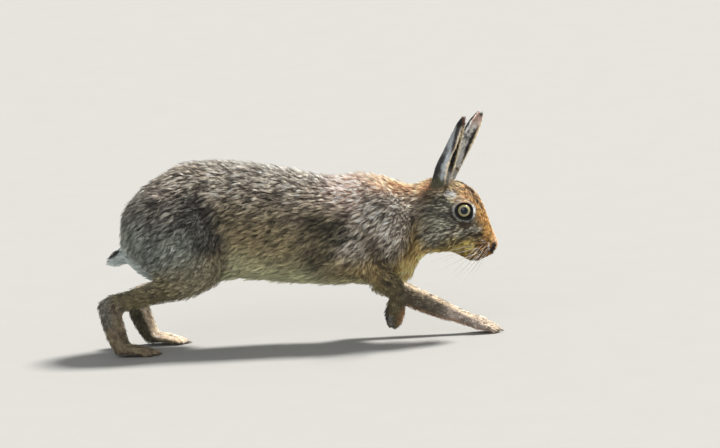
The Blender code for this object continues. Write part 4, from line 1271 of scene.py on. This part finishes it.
# How far a tuft bends to the tip of its lock, how much it waves, and how deep its root is, in mm.
LOCK_PULL = 0.58
TUFT_WAVE = 0.06
ROOT_DEEP = 0.5
# Half width and height of a tuft's patch in the OFBake map.
PATCH_HALF = 0.0011
PATCH_HIGH = 0.003


def region_of(points, on_ear):
    """Which field's tufts grow at each point."""
    ahead, aside, height = folded(points).T
    region = np.full(len(points), BODY)
    region[(ahead > 470) | (ahead > 455) & (height > 160)] = HEAD
    region[(height < 84) | (ahead < 60) & (height < 118) & (aside > 24)] = LEG
    region[on_ear] = EAR
    return region


def made_skin():
    """The skin, which has to be there before what grows on it."""
    skin = bpy.data.objects.get("skin")
    if skin is None:
        raise RuntimeError("the skin has to be made first")
    return skin


def skin_triangles(skin):
    """Corner points, corner normals and OFBake places of the skin's triangles."""
    mesh = skin.data
    mesh.calc_loop_triangles()
    count = len(mesh.loop_triangles)
    corners = np.empty(count * 3, dtype=np.int32)
    mesh.loop_triangles.foreach_get("vertices", corners)
    loops = np.empty(count * 3, dtype=np.int32)
    mesh.loop_triangles.foreach_get("loops", loops)
    flat = np.empty(len(mesh.loops) * 2, dtype=np.float32)
    mesh.uv_layers["OFBake"].data.foreach_get("uv", flat)
    points, normals = vertex_rows(mesh)
    corners = corners.reshape(-1, 3)
    unwrapped = flat.reshape(-1, 2)[loops.reshape(-1, 3)]
    return to_hare(points)[corners], normals[corners], unwrapped.astype(float)


def scatter(area, count, generator):
    """Places spread evenly over triangles, in random order: which triangle, and its corners' weights."""
    total = np.cumsum(area)
    steps = (np.arange(count) + generator.uniform(0, 1, count)) / count * total[-1]
    chosen = np.minimum(np.searchsorted(total, steps), len(area) - 1)
    first = np.sqrt(generator.uniform(0, 1, count))
    second = generator.uniform(0, 1, count)
    weights = np.stack((1 - first, first * (1 - second), first * second), axis=1)
    order = generator.permutation(count)
    return chosen[order], weights[order]


def clump_roots(roots, spacing, generator):
    """A random choice of roots about spacing apart, further in x, and each root's nearest of them."""
    roots = roots * np.array((0.45, 1.0, 1.0))
    cells = {}
    for index in generator.permutation(len(roots)):
        cells.setdefault(tuple(np.floor(roots[index] / spacing).astype(int)), index)
    middles = np.array(list(cells.values()))
    tree = KDTree(len(middles))
    for number, index in enumerate(middles):
        tree.insert(roots[index], number)
    tree.balance()
    return middles, np.array([tree.find(root)[1] for root in roots])


def grow(roots, normals, lie, length, depth, width, clump, generator):
    """The corner points of tapered closed tufts of three sides."""
    count = len(roots)
    middles, owner = clump
    lock_turn = generator.normal(0, LOCK_TURN, len(middles))[owner]
    lock_turn += generator.normal(0, TUFT_TURN, count)
    lock_rise = np.clip(generator.normal(1.0, LOCK_RISE, len(middles))[owner], 0.55, 1.5)
    side = unit(np.cross(normals, lie))
    way = lie * np.cos(lock_turn)[:, None] + side * np.sin(lock_turn)[:, None]
    side = unit(np.cross(normals, way))
    own_length = length * np.clip(generator.normal(1.0, TUFT_LENGTH, count), 0.5, 1.45)
    rise = np.minimum(depth * lock_rise, own_length * 0.8)
    run = np.sqrt(np.maximum(own_length ** 2 - rise ** 2, own_length ** 2 * 0.2))
    tip = roots + way * run[:, None] + normals * rise[:, None]
    lead = tip[middles][owner]
    wave = generator.uniform(0, 6.28, len(middles))[owner] + generator.normal(0, 0.5, count)
    rows = []
    for stage in TUFT_STAGES:
        lift = 1 - (1 - stage) ** 1.9
        here = roots + way * (run * stage)[:, None] + normals * (rise * lift)[:, None]
        target = roots + (lead - roots) * stage + normals * (rise * (lift - stage))[:, None]
        here += (target - here) * LOCK_PULL * stage ** 1.4
        sway = np.sin(wave + stage * 4.0) * own_length * TUFT_WAVE
        rows.append(here + side * sway[:, None] * (stage > 0))
    rows[0] = rows[0] - normals * ROOT_DEEP
    slant = generator.uniform(-0.6, 0.6, count)
    across = side * np.cos(slant)[:, None] + normals * np.sin(slant)[:, None]
    above = unit(np.cross(way, across))
    above *= np.sign((above * normals).sum(axis=1, keepdims=True)) + 1e-9
    points = []
    for row, share in zip(rows, TUFT_TAPER):
        half = (width * share / 2)[:, None]
        points += [row - across * half, row + across * half, row + above * half * 0.8]
    points = np.stack([*points, rows[-1]], axis=1)
    points[:, :, 2] = np.maximum(points[:, :, 2], HAIR_FLOOR)
    return points


def colour_rows(shades, vary, owner, lock_range, hair_range, generator):
    """The colours of each tuft's corners, varied from lock to lock and hair to hair, with painted shade at the
    roots.
    """
    count = len(shades)
    lock_light = generator.normal(0, 1, owner.max() + 1)[owner] * vary
    hair_light = generator.normal(0, 1, count) * vary
    gain = np.clip(1 + lock_range * lock_light + hair_range * hair_light, 0.22, 2.4)[:, None]
    pale = 0.50 + 3.0 * lock_range * lock_light + 1.2 * hair_range * vary * generator.normal(0, 1, count)
    pale = np.clip(pale, 0.0, 1.0)[:, None]
    root, band, tip = shades[:, 0], shades[:, 1], shades[:, 2]
    end = tip + (band * 1.12 - tip) * pale
    # The roots are darkened to 0.6 of the root's colour as painted shade down among the locks.
    stages = [root * 0.6] * 3 + [root * 0.4 + band * 0.6] * 3 + [end]
    return np.clip(np.stack([stage * gain for stage in stages], axis=1), 0.0, 1.0)


def tuft_mesh(name, points, colours, bake):
    """A mesh of tufts from arrays, with its colours and its OFBake patches."""
    count = len(points)
    mesh = bpy.data.meshes.new(name)
    mesh.vertices.add(count * TUFT_CORNERS)
    mesh.vertices.foreach_set("co", to_metres(points.reshape(-1, 3)).astype(np.float32).ravel())
    whole = (TUFT_FACES[None, :, :] + (np.arange(count) * TUFT_CORNERS)[:, None, None]).reshape(-1, 3)
    mesh.loops.add(len(whole) * 3)
    mesh.loops.foreach_set("vertex_index", whole.astype(np.int32).ravel())
    mesh.polygons.add(len(whole))
    mesh.polygons.foreach_set("loop_start", (np.arange(len(whole)) * 3).astype(np.int32))
    mesh.update(calc_edges=True)
    paint_attribute(mesh, "coat", colours.reshape(-1, 3))
    spread = [(across * PATCH_HALF, up * PATCH_HIGH) for up in (-0.5, 0.0) for across in (-1, 0, 1)]
    spread = np.array([*spread, (0.0, PATCH_HIGH / 2)])
    places = np.clip(bake[:, None, :] + spread[None, :, :], 0.0005, 0.9995).reshape(-1, 2)
    layer = mesh.uv_layers.new(name="OFBake")
    layer.data.foreach_set("uv", places[whole.ravel()].astype(np.float32).ravel())
    smooth_faces(mesh)
    mesh.validate()
    return mesh


def coat_finish():
    finish = Finish("coat_hair", Specular_IOR_Level=0.35, Sheen_Weight=0.12, Sheen_Roughness=0.5)
    colour = finish.node("ShaderNodeAttribute", {"attribute_name": "coat"})
    patch = finish.noise(160.0, 2.0)
    finish.feed("Base Color", finish.tint(colour, 0.84 + patch * 0.32))
    finish.feed("Roughness", 0.5 + patch * 0.25)
    return finish.material


class HARE_OT_coat(bpy.types.Operator):
    """Grow the coat's tufts on the skin"""

    bl_idname = "hare.coat"
    bl_label = "Coat"

    def execute(self, context):
        corners, corner_normals, unwrapped = skin_triangles(made_skin())
        middle = corners.mean(axis=1)
        facing = np.cross(corners[:, 1] - corners[:, 0], corners[:, 2] - corners[:, 0])
        area = np.linalg.norm(facing, axis=1) / 2
        on_ear = ear_flags(middle)
        region = region_of(middle, on_ear)
        usable = ~bare_at(middle, on_ear)
        finish = coat_finish()
        for number, (name, slot, full, *manner) in enumerate(FIELDS):
            generator = np.random.default_rng(100 + number)
            own = np.nonzero((region == number) & usable)[0]
            count = int(full * context.scene.hare_settings.hair_share)
            chosen, weights = scatter(area[own], count, generator)
            chosen = own[chosen]
            roots = (corners[chosen] * weights[:, :, None]).sum(axis=1)
            normals = unit((corner_normals[chosen] * weights[:, :, None]).sum(axis=1))
            bake = (unwrapped[chosen] * weights[:, :, None]).sum(axis=1)
            points, colours = field_tufts(roots, normals, on_ear[chosen], manner, generator)
            pieces = math.ceil(count / (PIECE_TRIANGLES // len(TUFT_FACES)))
            for part in range(pieces):
                rows = slice(part * count // pieces, (part + 1) * count // pieces)
                title = f"coat_{name}_{part + 1}"
                mesh = tuft_mesh(title, points[rows], colours[rows], bake[rows])
                mesh.materials.append(finish)
                piece = new_object(title, mesh)
                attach(piece, "root")
        return {"FINISHED"}


def field_tufts(roots, normals, on_ear, manner, generator):
    """The corner points and the colours of a field's tufts."""
    settings = bpy.context.scene.hare_settings
    thickness, gather, lock_range, hair_range = manner
    lie, length, depth, shades, vary = coat_at(roots, normals, on_ear)
    streaks = ripple(roots * np.array((0.5, 1.0, 1.0)), 4.5, 17)
    shades *= (1 + 0.13 * vary * ripple(roots, 15.0, 9))[:, None, None]
    shades *= (1 + 0.45 * np.clip(vary - 0.9, 0.0, 0.8) * streaks)[:, None, None]
    clump = clump_roots(roots, settings.clump_size * 1000 * gather, generator)
    width = settings.hair_width * 1000 * thickness * (0.8 + 0.4 * generator.uniform(0, 1, len(roots)))
    points = grow(roots, normals, lie, length, depth, width, clump, generator)
    return points, colour_rows(shades, vary, clump[1], lock_range, hair_range, generator)


# The bulge of an eye's clear front, and how far out it reaches, as shares of the eye's radius.
CORNEA_BULGE = 0.055
CORNEA_REACH = 0.74
# Rings from the eye's middle outwards: share of its radius, and a display colour, or for the iris the
# tint of its colour there.
# The pupil's dark blue is its black with a painted reflection of the sky.
PUPIL_RINGS = ((0.0, (4, 16, 34)), (0.36, (6, 12, 26)), (0.43, (38, 42, 42)))
IRIS_RINGS = ((0.485, (0.92, 1.06, 1.3)), (0.565, 0.62), (0.665, 1.02))
EDGE_RINGS = ((0.745, (64, 56, 40)), (0.79, (12, 11, 11)), (1.0, (12, 10, 10)))


class HARE_OT_eyes(bpy.types.Operator):
    """Make the two eyeballs with iris, pupil and wet surface"""

    bl_idname = "hare.eyes"
    bl_label = "Eyes"

    def execute(self, context):
        finish = eye_finish(context.scene.hare_settings.iris_colour)
        for side, name, node in ((-1, "eyeball_right", "eye_right"), (1, "eyeball_left", "eye_left")):
            middle, ahead, up, look = eye_frame(side)
            work = bmesh.new()
            bmesh.ops.create_uvsphere(work, u_segments=48, v_segments=36, radius=1.0)
            turn = Matrix((ahead, up, look)).transposed()
            flat = work.loops.layers.uv.new("iris")
            for face in work.faces:
                for loop in face.loops:
                    loop[flat].uv = (loop.vert.co.x * 0.5 + 0.5, loop.vert.co.y * 0.5 + 0.5)
            for vertex in work.verts:
                away = math.hypot(vertex.co.x, vertex.co.y)
                bulge = CORNEA_BULGE * (1 - min(away / CORNEA_REACH, 1.0) ** 2) if vertex.co.z > 0 else 0.0
                vertex.co = turn @ (vertex.co * (EYE_RADIUS * (1 + bulge)))
                vertex.co = Vector(to_metres(np.array(vertex.co) + middle))
            if turn.determinant() < 0:
                bmesh.ops.reverse_faces(work, faces=work.faces)
            piece = object_from_bmesh(name, work)
            smooth_faces(piece.data)
            piece.data.materials.append(finish)
            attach(piece, "root")
            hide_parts(node)
        return {"FINISHED"}


def eye_finish(iris):
    """Pupil with a painted blue reflection, pale iris with a bright outline and fine spokes, and dark edge, by
    the eyeball's own map.
    """
    finish = Finish("eye_wet", Roughness=0.3, Specular_IOR_Level=0.1, Coat_Weight=0.5, Coat_Roughness=0.02)
    place = finish.node("ShaderNodeUVMap", {"uv_map": "iris"})
    centred = finish.node("ShaderNodeVectorMath", {"operation": "SUBTRACT"}, {0: place, 1: (0.5, 0.5, 0.0)})
    away = finish.node("ShaderNodeVectorMath", {"operation": "LENGTH"}, {0: centred}, 1) * 2.0
    across = finish.node("ShaderNodeSeparateXYZ", None, {0: centred})
    down = Socket(finish, across.output.node.outputs[1])
    turn = finish.node("ShaderNodeMath", {"operation": "ARCTAN2"}, {0: down, 1: across})
    spokes_place = finish.node("ShaderNodeCombineXYZ", None, {0: turn * 9.0, 1: away * 3.0, 2: 0.0})
    spokes = finish.node("ShaderNodeTexNoise", None, {"Vector": spokes_place, "Scale": 2.2, "Detail": 3.0})
    rings = [(share, rgba(shade)) for share, shade in PUPIL_RINGS]
    rings += [(share, (*(np.array(iris) * tint), 1.0)) for share, tint in IRIS_RINGS]
    rings += [(share, rgba(shade)) for share, shade in EDGE_RINGS]
    colour = finish.node("ShaderNodeValToRGB", {"stops": rings}, {0: away + (spokes - 0.5) * 0.03})
    finish.feed("Base Color", finish.tint(colour, 0.72 + spokes * 0.56))
    finish.bump(spokes, 0.08, 0.0003)
    return finish.material


# Toes that carry claws, root and tip: the near and the far hind foot, the left and the right fore paw.
TOES = (
    ((14, -56, 11), (48, -60, 3)), ((16, -49.5, 12), (60, -51, 3)),
    ((16, -42, 12), (62, -42, 3)), ((14, -35, 11), (52, -32.5, 3)),
    ((54, 56, 11), (88, 60, 3)), ((56, 49.5, 12), (100, 51, 3)),
    ((56, 42, 12), (102, 42, 3)), ((54, 35, 11), (92, 32.5, 3)),
    ((510, 36, 12.5), (533, 40, 3.8)), ((512, 30, 14.5), (541, 32, 4.0)),
    ((512, 23.5, 14.5), (542, 23, 4.0)), ((510, 17.5, 12.5), (534, 15, 3.8)),
    ((395, -53, 45), (389, -53, 30)), ((401, -48, 45), (397, -47.5, 27)),
    ((401, -41, 45), (397, -40.5, 27)), ((395, -35.5, 45), (389, -35, 30)),
)
CLAW_LENGTH = 9.0
RAISED_CLAW_LENGTH = 5.0
CLAW_RADIUS = 1.5
# How far a claw reaches as a share of its length, how far its tip drops, and the least height of its
# middle line above the ground.
CLAW_REACH = 0.8
CLAW_DROP = 1.4
CLAW_FLOOR = 0.5
CLAW_COLOURS = ((58, 46, 36), (112, 94, 74))
# A claw's width at its root and after each step towards its tip.
CLAW_WIDTHS = (1.0, 0.88, 0.74, 0.5, 0.12)
# Toes whose tips are below this stand on the ground.
STANDING_TOE = 10


class HARE_OT_claws(bpy.types.Operator):
    """Make the sixteen claws"""

    bl_idname = "hare.claws"
    bl_label = "Claws"

    def execute(self, context):
        work = bmesh.new()
        for root, tip in TOES:
            way = Vector(tip) - Vector(root)
            length = RAISED_CLAW_LENGTH
            if tip[2] < STANDING_TOE:
                way.z *= 0.3
                length = CLAW_LENGTH
            way.normalize()
            add_claw(work, Vector(tip) + way, way, length)
        bmesh.ops.recalc_face_normals(work, faces=work.faces)
        piece = object_from_bmesh("claws", work)
        smooth_faces(piece.data)
        finish = Finish("claw_horn", Roughness=0.4, Specular_IOR_Level=0.5)
        finish.wander(900.0, 2.0, CLAW_COLOURS)
        piece.data.materials.append(finish.material)
        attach(piece, "root")
        return {"FINISHED"}


def add_claw(work, start, way, length):
    """A curved tapered horn from a ring that is drawn out step by step."""
    side = way.cross(Vector((0, 0, 1))).normalized()
    over = side.cross(way).normalized()
    ring = bmesh.ops.create_circle(work, cap_ends=True, segments=8, radius=CLAW_RADIUS)["verts"]
    turn = Matrix((side, over, way)).transposed()
    for vertex in ring:
        vertex.co = Vector(to_metres(np.array(start + turn @ vertex.co)))
    face = [face for face in work.faces if all(vertex in ring for vertex in face.verts)][0]
    before = start
    steps = len(CLAW_WIDTHS) - 1
    for step in range(1, steps + 1):
        share = step / steps
        place = start + way * (length * CLAW_REACH * share) - over * CLAW_DROP * share ** 2
        place.z = max(place.z, CLAW_FLOOR)
        face = bmesh.ops.extrude_discrete_faces(work, faces=[face])["faces"][0]
        bmesh.ops.translate(work, verts=face.verts, vec=(place - before) / 1000.0)
        middle = face.calc_center_median()
        for vertex in face.verts:
            vertex.co = middle + (vertex.co - middle) * (CLAW_WIDTHS[step] / CLAW_WIDTHS[step - 1])
        before = place


class HARE_OT_whiskers(bpy.types.Operator):
    """Make the whiskers and the hairs over the eyes"""

    bl_idname = "hare.whiskers"
    bl_label = "Whiskers"

    def execute(self, context):
        longest = context.scene.hare_settings.whisker_length * 1000
        work = bmesh.new()
        work.from_mesh(made_skin().data)
        tree = BVHTree.FromBMesh(work)
        work.free()
        points, faces = whisker_rows(tree, longest)
        mesh = bpy.data.meshes.new("whiskers")
        mesh.from_pydata(to_metres(points).tolist(), [], faces)
        piece = new_object("whiskers", mesh)
        smooth_faces(mesh)
        finish = Finish("whisker_hair", Roughness=0.35, Specular_IOR_Level=0.5)
        finish.wander(300.0, 1.0, WHISKER_COLOURS)
        mesh.materials.append(finish.material)
        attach(piece, "root")
        return {"FINISHED"}


# The longest whiskers: root x and z, angle from straight back in radians, drop and length.
LONG_WHISKERS = (
    (521, 127, 0.1, 0.02, 66), (524, 122, 0.2, 0.20, 52), (518, 119, 0.5, 0.75, 44),
    (523, 116, 0.7, 0.95, 34), (529, 117, 0.9, 1.0, 30), (515, 131, 0.0, -0.02, 46),
)
# Radius of the whiskers on the pads, the longest ones and the hairs over the eyes.
PAD_WHISKER = 0.18
LONG_WHISKER = 0.42
BROW_HAIR = 0.26
# How a whisker bends back and droops towards its tip, for each millimetre of its length.
WHISKER_BEND = np.array((-0.22, 0.0, -0.20))
WHISKER_STEPS = 7
WHISKER_SIDES = 4
WHISKER_COLOURS = ((205, 198, 186), (246, 243, 236))
# A pad's whiskers stand in rows: x and z of the foremost one of the lowest row, how far apart they
# stand along x and z, and how far each root strays.
PAD_START = (534.0, 117.5)
PAD_STEP = (6.6, 4.6)
PAD_STRAY = (0.7, 0.6)
# The rearmost hair over an eye: x, y and z on the left.
BROW_START = (500.0, 17.0, 203.0)


def whisker_rows(tree, longest):
    """Thin tapered whiskers from the pads and the brows, that bend back and droop."""
    generator = np.random.default_rng(77)
    points = []
    faces = []
    for side in (-1, 1):
        starts = []
        for row in range(4):
            for place in range(3):
                height = PAD_START[1] + row * PAD_STEP[1] + generator.normal(0, PAD_STRAY[1])
                ahead = PAD_START[0] - place * PAD_STEP[0] - row * 0.6
                ahead += generator.normal(0, PAD_STRAY[0])
                back = 0.55 + 0.45 * generator.uniform()
                reach = longest * (0.45 + 0.55 * place / 2) * generator.uniform(0.75, 1.05)
                way = np.array((-0.5 * back, side * 0.95, (row - 2.2) * 0.12 - 0.2))
                starts.append((np.array((ahead, side * 15.0, height)), way, reach, PAD_WHISKER))
        for ahead, height, turn, drop, reach in LONG_WHISKERS:
            way = np.array((-math.cos(turn), side * 0.42, -drop))
            starts.append((np.array((ahead, side * 16.0, height)), way, reach, LONG_WHISKER))
        for place in range(4):
            start = np.array(BROW_START) * (1.0, side, 1.0) + np.array((4.0, 0.0, -1.5)) * place
            way = np.array((-0.25 + place * 0.08, side * 0.8, 0.85))
            starts.append((start, way, longest * 0.42, BROW_HAIR))
        for start, way, reach, thick in starts:
            near, normal, _, _ = tree.find_nearest(Vector(to_metres(start)))
            root = to_hare(np.array(near)) - np.array(normal) * 0.8
            add_whisker(points, faces, root, unit(way), reach, thick)
    return np.array(points), faces


def add_whisker(points, faces, root, way, reach, radius):
    """One tapered whisker with closed ends."""
    level = unit(np.cross(way, (0.0, 0.0, 1.0)))
    over = np.cross(level, way)
    first = len(points)
    for step in range(WHISKER_STEPS):
        share = step / WHISKER_STEPS
        middle = root + way * (reach * share) + WHISKER_BEND * reach * share ** 2
        size = radius * (1 - 0.8 * share)
        for corner in range(WHISKER_SIDES):
            turn = 2 * math.pi * corner / WHISKER_SIDES
            points.append(middle + level * (math.cos(turn) * size) + over * (math.sin(turn) * size))
    points.append(root + way * reach + WHISKER_BEND * reach)
    tip = len(points) - 1
    faces.append(tuple(first + corner for corner in range(WHISKER_SIDES)))
    for step in range(WHISKER_STEPS):
        low = first + step * WHISKER_SIDES
        for corner in range(WHISKER_SIDES):
            after = (corner + 1) % WHISKER_SIDES
            if step < WHISKER_STEPS - 1:
                high = low + WHISKER_SIDES
                faces.append((low + corner, high + corner, high + after, low + after))
            else:
                faces.append((low + corner, tip, low + after))


class HARE_PT_sidebar(bpy.types.Panel):
    """The hare's pieces, each with its button"""

    bl_idname = "HARE_PT_sidebar"
    bl_label = "Hare"
    bl_space_type = "VIEW_3D"
    bl_region_type = "UI"
    bl_category = "Hare"

    def draw(self, context):
        settings = context.scene.hare_settings
        for name in settings.bl_rna.properties.keys():
            if name not in ("rna_type", "name"):
                self.layout.prop(settings, name)
        for operator in STEPS:
            self.layout.operator(operator.bl_idname)


STEPS = (HARE_OT_stage, HARE_OT_skin, HARE_OT_coat, HARE_OT_eyes, HARE_OT_claws, HARE_OT_whiskers)
CLASSES = (HareSettings, *STEPS, HARE_PT_sidebar)


def register():
    for item in CLASSES:
        bpy.utils.register_class(item)
    bpy.types.Scene.hare_settings = bpy.props.PointerProperty(type=HareSettings)


def unregister():
    del bpy.types.Scene.hare_settings
    for item in reversed(CLASSES):
        bpy.utils.unregister_class(item)


def main():
    register()
    bpy.ops.hare.stage()
    bpy.ops.hare.skin()
    bpy.ops.hare.coat()
    bpy.ops.hare.eyes()
    bpy.ops.hare.claws()
    bpy.ops.hare.whiskers()


if __name__ == "__main__":
    main()
